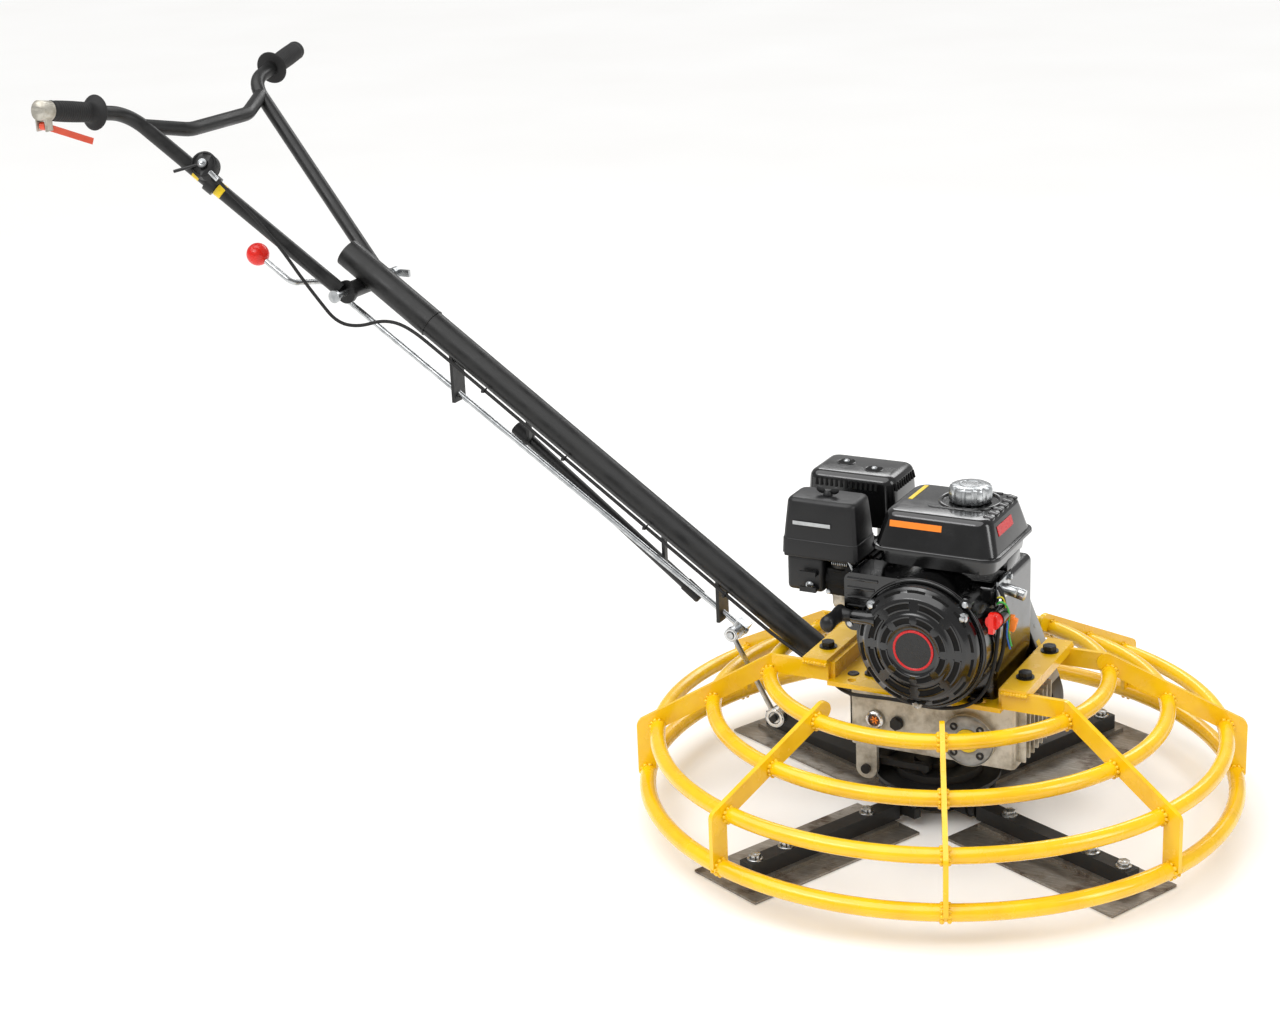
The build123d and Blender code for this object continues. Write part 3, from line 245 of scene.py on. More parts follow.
MATERIALS = {
    "yellow": enamel("yellow_enamel", "f8c80c", "efba06", "4a3c1c", 0.2, 0.76),
    "black": powder_coat("black_powder_coat", "080808", 0.36),
    "rotor_black": powder_coat("worn_black_paint", "121212", 0.46),
    "engine": enamel("black_engine_enamel", "060607", "030303", "1c1c1c", 0.16, 0.80, 0.5),
    "abs": moulded("moulded_black_abs", "08080a", "101011", 0.42),
    "nylon": moulded("black_nylon", "101011", "1c1c1d", 0.5, 1.2),
    "rubber": moulded("nitrile_rubber", "0d0d0e", "1b1a1a", 0.66, 1.4, 0.4),
    "cast": cast_metal("sand_cast_aluminium", "c9c5ba", "8d8678", 0.42),
    "dark_cast": cast_metal("painted_cast_iron", "141415", "232220", 0.5),
    "zinc": plated("zinc_plated_steel", "c8cacb", "9fa2a4", 0.26),
    "bright": plated("polished_steel", "dcdcdb", "b8b7b4", 0.16),
    "brass": plated("raw_brass", "cbb37a", "a98f55", 0.3),
    "machined": plated("machined_steel", "9a9a98", "7b7a77", 0.34),
    "blade": trowel_steel("scuffed_blade_steel"),
    "red": moulded("red_phenolic", "d8160c", "ec2a1c", 0.22, 3.0, 0.05),
    "orange": enamel("orange_enamel", "e8542f", "d9431f", "7a2a16", 0.35, 0.72),
    "orange_plastic": moulded("orange_nylon", "ef7a12", "f58a22", 0.4),
    "amber": plain_film("oil_window", "7a4314", 0.1, Transmission_Weight=0.4, IOR=1.5),
    "slot_shadow": moulded("slot_shadow", "010101", "020202", 0.95),
    "badge_red": plain_film("red_badge_film", "d01018", 0.25),
    "badge_black": plain_film("black_badge_film", "141416", 0.25),
    "grey_film": plain_film("grey_label_film", "b9bcbd", 0.35),
    "grey_sheet": moulded("grey_painted_sheet", "8a8c8c", "a5a7a6", 0.32, 2.5, 0.08),
    "label_yellow": plain_film("yellow_label_film", "f2cf1c", 0.35),
    "wire_green": plain_film("green_wire", "3fae49", 0.4),
    "wire_blue": plain_film("blue_wire", "2f6fd0", 0.4),
    "wire_yellow": plain_film("yellow_wire", "d9c92a", 0.4),
}

CAD_FINISHES = {
    "yellow": ("guard_ring_bottom", "guard_rings_upper", "guard_spokes", "base_plate"),
    "black": ("frame_bolts", "gearbox_screws", "main_tube", "lifting_pole", "handlebar", "belt_cover"),
    "rotor_black": (
        "spider_hub", "pressure_plate", "thrust_collar", "pitch_yoke", "arm_1", "arm_2", "arm_3", "arm_4",
    ),
    "engine": ("fan_shroud", "recoil_cover", "fuel_tank", "muffler_guard", "crankcase"),
    "dark_cast": ("cylinder_head",),
    "abs": ("throttle_lever", "air_cleaner", "starter_grip", "choke_lever", "fuel_lever", "air_cleaner_nut"),
    "rubber": ("handle_grips", "v_belt", "throttle_cable_upper", "throttle_cable_lower", "starter_rope"),
    "cast": ("gearbox_housing", "gearbox_cover", "fuel_cap", "carburettor"),
    "zinc": (
        "pitch_link", "crank_rod", "control_clamps", "clamp_handle", "pivot_bolt", "pitch_nut",
    ),
    "machined": (
        "output_shaft", "shaft_bearings", "worm_shaft", "gearbox_pulley", "clutch_pulley", "crankshaft",
        "muffler",
    ),
    "blade": ("blade_1", "blade_2", "blade_3", "blade_4"),
    "red": ("crank_knob", "engine_switch"),
    "orange": ("stop_lever",),
    "amber": ("oil_sight_glass",),
}


# ---- Mesh tools ----

def facing(axis):
    """The turn that takes +Z to an axis."""
    return UP.rotation_difference(Vector(axis).normalized()).to_matrix().to_4x4()


def put_cone(mesh, start, end, r0, r1, sides=40):
    """A round bar or cone from start to end, its radii in millimetres."""
    a, b = Vector(start), Vector(end)
    place = Matrix.Translation((a + b) / 2) @ facing(b - a)
    made = bmesh.ops.create_cone(
        mesh, cap_ends=True, segments=sides, radius1=r0 * MM, radius2=r1 * MM, depth=(b - a).length,
        matrix=place,
    )
    return made["verts"]


def edges_of(verts):
    """The edges whose two ends are both among verts."""
    chosen = set(verts)
    return [e for e in {e for v in verts for e in v.link_edges} if all(v in chosen for v in e.verts)]


def bevel(mesh, edges, width, steps=2):
    """Rounds edges by a width in millimetres."""
    bmesh.ops.bevel(
        mesh, geom=edges, offset=width * MM, offset_type="OFFSET", segments=steps, profile=0.5,
        affect="EDGES",
        material=-1, clamp_overlap=True,
    )


def put_bar(mesh, start, end, radius, round_by=0.0, sides=32):
    """A round bar with rounded rims."""
    verts = put_cone(mesh, start, end, radius, radius, sides)
    if round_by > 0:
        way = (Vector(end) - Vector(start)).normalized()
        rims = [e for e in edges_of(verts)
                if abs((e.verts[0].co - e.verts[1].co).normalized().dot(way)) < 0.5]
        bevel(mesh, rims, round_by)


def put_box(mesh, low, high, round_by=0.0, steps=2, turn=None):
    """A box between two corners, rounded, and turned about its middle."""
    a, b = Vector(low), Vector(high)
    size = b - a
    place = Matrix.Translation((a + b) / 2)
    if turn is not None:
        place = place @ turn
    place = place @ Matrix.Diagonal((*size, 1))
    verts = bmesh.ops.create_cube(mesh, size=1, matrix=place)["verts"]
    if round_by > 0:
        bevel(mesh, edges_of(verts), round_by, steps)
    return verts


def put_lathe(mesh, outline, centre, axis, steps=64):
    """Turns an outline of (radius, height) points in millimetres round an axis."""
    turn = Matrix.Translation(centre) @ facing(axis)
    verts = [mesh.verts.new(turn @ mm(r, 0, h)) for r, h in outline]
    edges = [mesh.edges.new(pair) for pair in zip(verts, verts[1:])]
    bmesh.ops.spin(
        mesh, geom=verts + edges, cent=centre, axis=Vector(axis).normalized(), dvec=(0, 0, 0),
        angle=math.tau, steps=steps, use_merge=True, use_normal_flip=False, use_duplicate=False,
    )
    bmesh.ops.remove_doubles(mesh, verts=mesh.verts[:], dist=1e-6)


def put_ring(mesh, centre, axis, radius, tube, steps=64, sides=12):
    """A torus about an axis, its two radii in millimetres."""
    turn = Matrix.Translation(centre) @ facing(axis)
    verts = bmesh.ops.create_circle(mesh, cap_ends=False, segments=sides, radius=tube * MM)["verts"]
    stand = Matrix.Translation((radius * MM, 0, 0)) @ Matrix.Rotation(math.pi / 2, 4, "X")
    bmesh.ops.transform(mesh, matrix=turn @ stand, verts=verts)
    bmesh.ops.spin(
        mesh, geom=verts + edges_of(verts), cent=centre, axis=Vector(axis).normalized(), dvec=(0, 0, 0),
        angle=math.tau, steps=steps, use_merge=True, use_normal_flip=False, use_duplicate=False,
    )


def put_hex(mesh, centre, axis, across, height, round_by=0.6):
    """A hexagon head standing on a surface at centre, with a chamfered crown."""
    start = Vector(centre)
    end = start + Vector(axis).normalized() * height * MM
    verts = put_cone(mesh, start, end, across * 0.577, across * 0.577, 6)
    bevel(mesh, edges_of(verts), round_by)


def piece(name, mesh, finishes, body, replaced=(), sharp=35.0):
    """Makes a bmesh a finished piece riding on a body."""
    bmesh.ops.recalc_face_normals(mesh, faces=mesh.faces[:])
    data = bpy.data.meshes.new(name)
    mesh.to_mesh(data)
    mesh.free()
    data.shade_smooth()
    data.set_sharp_from_angle(angle=math.radians(sharp))
    made = bpy.data.objects.new(name, data)
    bpy.context.scene.collection.objects.link(made)
    names = (finishes,) if isinstance(finishes, str) else finishes
    for finish in names:
        data.materials.append(MATERIALS[finish])
    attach(made, body)
    if replaced:
        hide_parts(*replaced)
    return made


def painted(mesh, index, before):
    """Gives the faces made since before a material index."""
    for face in mesh.faces:
        if face not in before:
            face.material_index = index


# ---- Settings ----

class TrowelSettings(bpy.types.PropertyGroup):
    """Sizes and colours a user would change."""
    weld_size: FloatProperty(
        name="Weld bead", description="Radius of the weld beads on the guard", default=4 * MM,
        subtype="DISTANCE", unit="LENGTH",
    )
    guard_colour: FloatVectorProperty(
        name="Guard colour", description="Colour of the guard's enamel", subtype="COLOR",
        size=4, default=colour("f8c80c"), min=0, max=1,
    )
    fin_count: IntProperty(name="Grip ribs", description="Ribs on each handle grip", default=14, min=4,
                           max=30)


# ---- Stage ----

class TROWEL_OT_stage(bpy.types.Operator):
    """Camera, soft studio light and a pale floor."""
    bl_idname = "trowel.stage"
    bl_label = "Stage"

    def execute(self, context):
        scene = context.scene
        eye = bpy.data.cameras.new("studio_camera")
        eye.lens = 66.9
        eye.sensor_width = 36.0
        eye.clip_end = 300
        camera = bpy.data.objects.new("studio_camera", eye)
        scene.collection.objects.link(camera)
        forward = Vector((-0.4555, 0.8284, -0.3259)).normalized()
        right = forward.cross(UP).normalized()
        up = right.cross(forward)
        roll = math.radians(-2.53)
        right, up = right * math.cos(roll) + up * math.sin(roll), up * math.cos(roll) - right * math.sin(roll)
        spin = Matrix((right, up, -forward)).transposed().to_4x4()
        camera.matrix_world = Matrix.Translation((1.2944, -3.3286, 1.7469)) @ spin
        scene.camera = camera

        world = bpy.data.worlds.new("studio")
        world.use_nodes = True
        back = world.node_tree.nodes["Background"]
        back.inputs["Color"].default_value = (1, 1, 1, 1)
        back.inputs["Strength"].default_value = 0.42
        scene.world = world
        scene.view_settings.view_transform = "Standard"
        lamps = (
            ("key", (-1.6, -3.0, 3.2), (1.8, 1.0), 26),
            ("side", (3.2, -0.4, 2.2), (1.0, 2.0), 30),
            ("back", (-0.6, 3.0, 2.6), (3.0, 0.9), 34),
        )
        for name, place, (width, height), power in lamps:
            lamp = bpy.data.lights.new(name, "AREA")
            lamp.shape = "RECTANGLE"
            lamp.size = width
            lamp.size_y = height
            lamp.energy = power
            holder = bpy.data.objects.new(name, lamp)
            scene.collection.objects.link(holder)
            aim = Vector((-0.3, 0, 0.4)) - Vector(place)
            holder.matrix_world = Matrix.Translation(place) @ aim.to_track_quat("-Z",
                                                                                "Y").to_matrix().to_4x4()

        sky = bpy.data.lights.new("overhead", "SUN")
        sky.energy = 2.5
        sky.angle = math.radians(75)
        ceiling = bpy.data.objects.new("overhead", sky)
        scene.collection.objects.link(ceiling)
        ceiling.matrix_world = Vector((0.25, 0.35, -1)).to_track_quat("-Z", "Y").to_matrix().to_4x4()

        mesh = bmesh.new()
        bmesh.ops.create_grid(mesh, x_segments=1, y_segments=1, size=120)
        data = bpy.data.meshes.new("studio_floor")
        mesh.to_mesh(data)
        mesh.free()
        floor = bpy.data.objects.new("studio_floor", data)
        floor.location.z = -0.0006
        scene.collection.objects.link(floor)
        paper, tree, shader, where = new_material("floor_paper", Roughness=0.45)
        tree.links.new(ramp(tree, noise(tree, where, 900, 2), [(0, colour("f6f5f3")), (1, colour("fdfdfc"))]),
                       shader.inputs["Base Color"])
        data.materials.append(paper)
        return {"FINISHED"}


class TROWEL_OT_finishes(bpy.types.Operator):
    """Gives every CAD part its real finish."""
    bl_idname = "trowel.finishes"
    bl_label = "Finishes"

    def execute(self, context):
        film = next(node for node in MATERIALS["yellow"].node_tree.nodes
                    if node.bl_idname == "ShaderNodeValToRGB")
        film.color_ramp.elements[1].color = context.scene.trowel.guard_colour
        for finish, nodes in CAD_FINISHES.items():
            for name in nodes:
                part = frame["nodes"][name]
                if not part.material_slots:
                    part.data.materials.append(MATERIALS[finish])
                for slot in part.material_slots:
                    slot.material = MATERIALS[finish]
        return {"FINISHED"}


# ---- Guard and engine plate ----

def guard_rings():
    """The guard's four rings as (radius, height, tube radius) in metres, from the CAD boxes."""
    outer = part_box("guard_ring_bottom")
    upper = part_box("guard_rings_upper")
    return (
        (outer[1].x - 13.5 * MM, (outer[0].z + outer[1].z) / 2, 13.5 * MM),
        (upper[1].x - 12.5 * MM, 139 * MM, 12.5 * MM),
        (364 * MM, 185 * MM, 12.5 * MM),
        (271 * MM, 234 * MM, 12.5 * MM),
    )


class TROWEL_OT_welds(bpy.types.Operator):
    """Weld beads where the guard's spokes meet its rings, and under the pads."""
    bl_idname = "trowel.welds"
    bl_label = "Weld beads"

    def execute(self, context):
        size = context.scene.trowel.weld_size
        dice = random.Random(4)
        mesh = bmesh.new()
        for radius, height, tube in guard_rings():
            for index in range(8):
                angle = math.radians(22.5 + 45 * index)
                along = Vector((math.cos(angle), math.sin(angle), 0))
                across = Vector((-along.y, along.x, 0))
                for side in (-1, 1):
                    for step in range(7):
                        swing = math.radians(-100 + 200 * step / 6)
                        spot = along * (radius + tube * math.cos(swing)) + across * side * 5.5 * MM
                        spot.z = height + tube * math.sin(swing)
                        blob = bmesh.ops.create_icosphere(
                            mesh, subdivisions=2, radius=size * dice.uniform(0.75, 1.05),
                            matrix=Matrix.Translation(spot),
                        )
                        bmesh.ops.scale(
                            mesh, vec=(1, 1, 0.9), space=Matrix.Translation(-spot), verts=blob["verts"]
                        )
        for side in (-1, 1):
            for end in (-1, 1):
                for step in range(9):
                    spot = mm(side * (148 + 4.8 * step), end * 112.5, 266)
                    bmesh.ops.create_icosphere(
                        mesh, subdivisions=2, radius=size * dice.uniform(0.7, 0.95),
                        matrix=Matrix.Translation(spot),
                    )
        piece("guard_weld_beads", mesh, "yellow", "chassis", sharp=80)
        return {"FINISHED"}


class TROWEL_OT_frame_bolts(bpy.types.Operator):
    """Flanged hexagon bolts with washers on the pads, plate and engine feet."""
    bl_idname = "trowel.frame_bolts"
    bl_label = "Frame bolts"

    def execute(self, context):
        heads, washers = bmesh.new(), bmesh.new()
        spots = [(side * 167, end * 58, 274) for side in (-1, 1) for end in (-1, 1)]
        for x, y, z in spots:
            spot = Vector((x, y, z)) * MM
            put_lathe(washers, [(5, 0), (12.5, 0), (12.5, 1.6), (9, 2.2),
                                (5, 2.2)], spot, UP, 36)
            put_hex(heads, spot + UP * 2.2 * MM, UP, 18, 8)
            put_ring(heads, spot + UP * 10 * MM, UP, 5, 0.5, 24, 8)
        piece("pad_bolt_heads", heads, "nylon", "chassis")
        piece("pad_bolt_washers", washers, "zinc", "chassis")
        return {"FINISHED"}


class TROWEL_OT_plate_details(bpy.types.Operator):
    """Countersunk screws in the engine plate."""
    bl_idname = "trowel.plate_details"
    bl_label = "Plate details"

    def execute(self, context):
        mesh = bmesh.new()
        for x, y in ((-118, -70), (-118, 66), (132, 66)):
            spot = Vector((x, y, 239.2)) * MM
            put_lathe(mesh, [(0, 0.9), (2.6, 0.9), (3.4, 1.7), (8.4, 1.9),
                             (9.6, 0.6), (9.6, -0.1), (0, -0.1)], spot, UP, 36)
        piece("plate_screws", mesh, "nylon", "chassis")
        return {"FINISHED"}


# ---- Gearbox ----

class TROWEL_OT_gearbox_details(bpy.types.Operator):
    """Worm cover with socket screws and a yellow disc, sight glass ring, plug and body bosses."""
    bl_idname = "trowel.gearbox_details"
    bl_label = "Gearbox details"

    def execute(self, context):
        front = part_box("gearbox_cover")[0].y
        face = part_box("gearbox_housing")[0].y
        out = Vector((0, -1, 0))
        middle = Vector((84 * MM, front, 165 * MM))
        mesh = bmesh.new()
        put_lathe(mesh, [(20, 0), (20, 1.4), (23, 2.6), (39, 2.6),
                         (42.5, 1.2), (43.4, 0)], middle, out, 96)
        piece("worm_cover_land", mesh, "machined", "chassis")
        disc = bmesh.new()
        put_lathe(disc, [(0, 3.1), (17, 3.1), (19.4, 2.2), (19.4, 0)], middle, out, 64)
        piece("oil_level_disc", disc, "label_yellow", "chassis")
        dark = bmesh.new()
        for index in range(4):
            swing = math.radians(45 + 90 * index)
            spot = middle + Vector((31 * math.cos(swing), 0, 31 * math.sin(swing))) * MM
            put_lathe(dark, [(0, 1.2), (3.2, 1.2), (3.2, 4.6), (5, 5.2),
                             (6.4, 4.2), (6.4, 2)], spot, out, 30)
        put_box(dark, middle + Vector((-6, -3.9, -8)) * MM, middle + Vector((7, -3.0, 7)) * MM, 0.8, 2,
                Matrix.Rotation(0.35, 4, "Y"))
        put_hex(dark, Vector((-38 * MM, face - 0.2 * MM, 171 * MM)), out, 15, 7, 0.8)
        put_lathe(dark, [(0, 0), (11, 0), (11, 2), (9.5, 2.6), (0, 2.6)],
                  Vector((-38 * MM, face, 171 * MM)), out, 36)
        piece("gearbox_screws_and_plug", dark, "nylon", "chassis")
        glass = Vector((-76 * MM, face,
                        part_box("oil_sight_glass")[0].z / 2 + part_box("oil_sight_glass")[1].z / 2))
        ring = bmesh.new()
        put_lathe(ring, [(9.6, 0.2), (10.2, 5.6), (12.6, 6.2), (14.8, 4.4),
                         (15.6, 0)], glass, out, 48)
        piece("sight_glass_ring", ring, "bright", "chassis")
        star = bmesh.new()
        for turn in (0, 60, 120):
            put_box(star, glass + Vector((-6.5, -3.6, -1.3)) * MM, glass + Vector((6.5, -3.0, 1.3)) * MM,
                    0.3, 1,
                    Matrix.Rotation(math.radians(turn), 4, "Y"))
        piece("sight_glass_star", star, "orange_plastic", "chassis")
        return {"FINISHED"}


# ---- Recoil starter ----

class TROWEL_OT_recoil_cover(bpy.types.Operator):
    """Recoil starter cover: dished pressing with rings of cooling slots, rope outlet and badge."""
    bl_idname = "trowel.recoil_cover"
    bl_label = "Recoil cover"

    def execute(self, context):
        low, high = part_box("recoil_cover")
        out = Vector((0, -1, 0))
        back = high.y
        middle = Vector((30 * MM, back, 345 * MM))
        shell = bmesh.new()
        outline = [(99, 0), (99, 10), (97, 15), (92, 18), (88, 20), (84, 26), (81, 28), (62, 29), (59, 31),
                   (56, 33),
                   (42, 33.6), (39, 31.6), (36, 31.2), (0, 31.2)]
        put_lathe(shell, outline, middle, out, 120)
        before = set(shell.faces)
        # Slots are dark pads with raised lips, so that the cover stays one closed skin.
        for radius, half, spread_deg, height in ((49, 4.4, 15, 33.3), (71, 4.6, 15, 28.4),
                                                 (90.5, 3.2, 9, 18.8)):
            count = 8 if radius < 80 else 14
            for index in range(count):
                centre = 360 / count * (index + 0.5)
                arc_slot(shell, middle, out, radius, half, centre, spread_deg, height)
        painted(shell, 1, before)
        before = set(shell.faces)
        for radius, half, spread_deg, height in ((43.6, 1.1, 17, 34.2), (54.6, 1.1, 17, 33.0),
                                                 (65.4, 1.2, 17, 29.4),
                                                 (76.8, 1.2, 17, 29.2)):
            for index in range(8):
                arc_slot(shell, middle, out, radius, half, 45 * (index + 0.5), spread_deg, height, 1.6)
        outlet = Vector((-65, -167, 381)) * MM
        put_lathe(shell, [(5, 12), (9, 12), (10.5, 8), (11.5, -18),
                          (15, -30)], outlet, (-1, 0, 0), 40)
        piece("recoil_cover_skin", shell, ("engine", "slot_shadow"), "chassis", ["recoil_cover"], 32)

        badge = bmesh.new()
        put_lathe(badge, [(0, 32.2), (29.5, 32.2), (29.5, 31)], middle, out, 72)
        piece("starter_badge", badge, "badge_black", "chassis")
        rim = bmesh.new()
        put_lathe(rim, [(29.3, 31), (29.3, 32.6), (30, 33.1), (32.6, 33.1),
                        (33.2, 32.4), (33.2, 31)], middle, out, 96)
        piece("starter_badge_rim", rim, "badge_red", "chassis")
        screws = bmesh.new()
        for swing in (38, 142, 270):
            spot = middle + Vector((95 * math.cos(math.radians(swing)), 0,
                                    95 * math.sin(math.radians(swing)))) * MM
            put_bar(screws, spot + out * 10 * MM, spot + out * 17.5 * MM, 8, 1)
            put_hex(screws, spot + out * 17.5 * MM, out, 8.5, 4.5)
        piece("recoil_cover_screws", screws, "zinc", "chassis")
        return {"FINISHED"}


def arc_slot(mesh, middle, out, radius, half, centre_deg, spread_deg, height, thick=1.2):
    """A curved bar lying on a disc, from centre minus spread to centre plus spread degrees."""
    verts = bmesh.ops.create_cube(
        mesh, size=1,
        matrix=Matrix.Translation(mm(radius, 0, height)) @ Matrix.Diagonal((2 * half * MM, 0.0001,
                                                                            thick * MM, 1)),
    )["verts"]
    far = [f for f in {f for v in verts for f in v.link_faces}
           if f.calc_center_median().y > 0 and abs(f.normal.y) > 0.9]
    turn = Matrix.Translation(middle) @ facing(out)
    start = math.radians(centre_deg - spread_deg)
    place = turn @ Matrix.Rotation(start, 4, "Z")
    bmesh.ops.transform(mesh, matrix=place, verts=verts)
    bmesh.ops.spin(
        mesh, geom=far, cent=middle, axis=turn.to_3x3() @ UP, dvec=(0, 0, 0),
        angle=math.radians(2 * spread_deg), steps=8, use_merge=False, use_normal_flip=False,
        use_duplicate=False,
    )


class TROWEL_OT_shroud_details(bpy.types.Operator):
    """Ribs, seam and screws on the fan shroud's wing and rim."""
    bl_idname = "trowel.shroud_details"
    bl_label = "Shroud details"

    def execute(self, context):
        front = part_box("fan_shroud")[0].y
        mesh = bmesh.new()
        for index in range(5):
            z = (436 - 15 * index) * MM
            put_box(mesh, (-92 * MM, front - 2 * MM, z - 2.4 * MM),
                    ((-40 - 6 * index) * MM, front + 3 * MM, z + 2.4 * MM),
                    1.2)
        put_ring(mesh, (30 * MM, front - 0.4 * MM, 345 * MM), (0, 1, 0), 103, 2.6, 120, 12)
        put_lathe(mesh, [(0, 6), (7, 6), (10, 4), (11, -6)],
                  (104 * MM, front, 421 * MM), (0, -1, 0), 32)
        piece("fan_shroud_ribs", mesh, "engine", "chassis")
        screws = bmesh.new()
        for x, z in ((104, 421), (-88, 360)):
            put_lathe(screws, [(0, 2.4), (4, 2), (5.4, 0.6), (5.4, 0)],
                      (x * MM, front - (6.2 if x > 0 else 0.1) * MM, z * MM), (0, -1, 0), 28)
        piece("fan_shroud_screws", screws, "zinc", "chassis")
        return {"FINISHED"}


class TROWEL_OT_starter_grip(bpy.types.Operator):
    """Moulded starter grip, waisted, with a rope boss."""
    bl_idname = "trowel.starter_grip"
    bl_label = "Starter grip"

    def execute(self, context):
        low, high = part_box("starter_grip")
        middle = Vector((low.x + 12 * MM, (low.y + high.y) / 2, (low.z + high.z) / 2))
        half = (high.y - low.y) / 2 / MM
        mesh = bmesh.new()
        outline = [(0, -half), (8, 1 - half), (12.4, 6 - half), (12.2, -half * 0.5), (11, -half * 0.2),
                   (11, half * 0.2), (12.2, half * 0.5), (12.4, half - 6), (8, half - 1), (0, half)]
        put_lathe(mesh, outline, middle, (0, 1, 0), 44)
        bmesh.ops.scale(mesh, vec=(0.92, 1, 1.08), space=Matrix.Translation(-middle), verts=mesh.verts[:])
        boss = Vector((middle.x, -167 * MM, 381 * MM))
        put_lathe(mesh, [(0, 0), (12, 0), (10.8, 9), (9, 18), (7.4, 23), (5, 24), (0, 24)], boss, (1, 0, 0),
                  36)
        piece("starter_grip_moulding", mesh, "abs", "starter", ["starter_grip"], 50)
        return {"FINISHED"}


# ---- Fuel tank ----

def put_pressing(mesh, low, high, corner, inset, lip, steps=6):
    """A pressed shell: a box whose top is drawn in by inset, with round corners and a rounded top rim."""
    a, b = Vector(low) * MM, Vector(high) * MM
    verts = put_box(mesh, a, b)
    middle = (a + b) / 2
    top = [v for v in verts if v.co.z > middle.z]
    for vert in top:
        vert.co.x += inset * MM * (1 if vert.co.x < middle.x else -1)
        vert.co.y += inset * MM * (1 if vert.co.y < middle.y else -1)
    uprights = [e for e in edges_of(verts) if abs(e.verts[0].co.z - e.verts[1].co.z) > 1 * MM]
    rounded = bmesh.ops.bevel(
        mesh, geom=uprights, offset=corner * MM, offset_type="OFFSET", segments=steps, profile=0.5,
        affect="EDGES", material=-1,
    )["verts"]
    if lip > 0:
        crown = [e for e in edges_of(set(rounded)) if all(abs(v.co.z - b.z) < 0.01 * MM for v in e.verts)]
        bevel(mesh, crown, lip, 4)


class TROWEL_OT_fuel_tank(bpy.types.Operator):
    """Fuel tank: drawn upper shell with pressed creases, folded seam, tub, brackets and plain decals."""
    bl_idname = "trowel.fuel_tank"
    bl_label = "Fuel tank"

    def execute(self, context):
        mesh = bmesh.new()
        put_pressing(mesh, (-64, -119, 482), (136, 59, 538), 22, 15, 9, 8)
        put_pressing(mesh, (-69, -124, 479), (141, 64, 484.5), 26, 0.6, 1.6, 8)
        put_pressing(mesh, (-57, -112, 455), (129, 52, 480), 24, -3, 0, 8)
        middle = Vector((60, -15, 538)) * MM
        # The dished seat round the filler, and the two long creases beside it.
        put_ring(mesh, middle, UP, 47, 3.2, 72, 12)
        put_lathe(mesh, [(0, 0.6), (23, 0.6), (24, -6)], middle, UP, 48)
        for y in (-62, 34):
            put_box(mesh, mm(8, y - 2.6, 535.5), mm(96, y + 2.6, 540), 2, 3)
        for index in range(6):
            y = (-78 + 21 * index) * MM
            put_box(mesh, (104 * MM, y - 5 * MM, 531 * MM), (121 * MM, y + 5 * MM, 539.6 * MM), 2.4, 3,
                    Matrix.Rotation(0.22, 4, "Y"))
        for x in (-20, 100):
            put_box(mesh, mm(x, -40, 438), mm(x + 30, 20, 457), 2)
        piece("fuel_tank_shell", mesh, "engine", "chassis", ["fuel_tank"], 30)

        slope = math.atan2(15, 56)
        stripes = bmesh.new()
        put_box(stripes, mm(-37, -109.2, 515), mm(48, -108.5, 525), 0.2, 1,
                Matrix.Rotation(-slope, 4, "X"))
        piece("tank_front_stripe", stripes, "orange_plastic", "chassis")
        end = bmesh.new()
        put_box(end, mm(127.2, -78, 508), mm(128.0, -14, 524), 0.3, 1,
                Matrix.Rotation(-slope, 4, "Y"))
        piece("tank_end_stripe", end, "badge_red", "chassis")
        top = bmesh.new()
        put_box(top, mm(-34, -40, 538.05), mm(-27, 30, 538.6), 0.2, 1)
        piece("tank_top_stripe", top, "label_yellow", "chassis")
        return {"FINISHED"}


class TROWEL_OT_fuel_cap(bpy.types.Operator):
    """Zinc filler cap with twelve finger scallops and a domed top."""
    bl_idname = "trowel.fuel_cap"
    bl_label = "Fuel cap"

    def execute(self, context):
        low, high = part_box("fuel_cap")
        middle = Vector(((low.x + high.x) / 2, (low.y + high.y) / 2, low.z))
        height = high.z - low.z
        mesh = bmesh.new()
        steps = 144
        rows = []
        for radius, rise, depth in ((30.5, 0.0, 0.6), (33.6, 0.1, 2.0), (34, 0.35, 2.6), (34, 0.72, 2.6),
                                    (32.4, 0.88, 1.8), (28.5, 0.96, 0.6), (20, 0.99, 0.0)):
            ring = []
            for index in range(steps):
                swing = math.tau * index / steps
                wave = max(0.0, math.cos(12 * swing)) ** 0.6
                r = (radius - depth * wave) * MM
                ring.append(mesh.verts.new(middle + Vector((r * math.cos(swing), r * math.sin(swing),
                                                            rise * height))))
            rows.append(ring)
        for lower, upper in zip(rows, rows[1:]):
            loop = [mesh.edges.get(pair) or mesh.edges.new(pair)
                    for row in (lower, upper) for pair in zip(row, row[1:] + row[:1])]
            bmesh.ops.bridge_loops(mesh, edges=loop)
        mesh.faces.new(rows[-1])
        mesh.faces.new(list(reversed(rows[0])))
        put_ring(mesh, middle + UP * height * 0.99, UP, 17, 0.9, 64, 8)
        piece("fuel_cap_pressing", mesh, "zinc", "fuel_cap", ["fuel_cap"], 32)
        return {"FINISHED"}


# ---- Air cleaner, carburettor and muffler ----

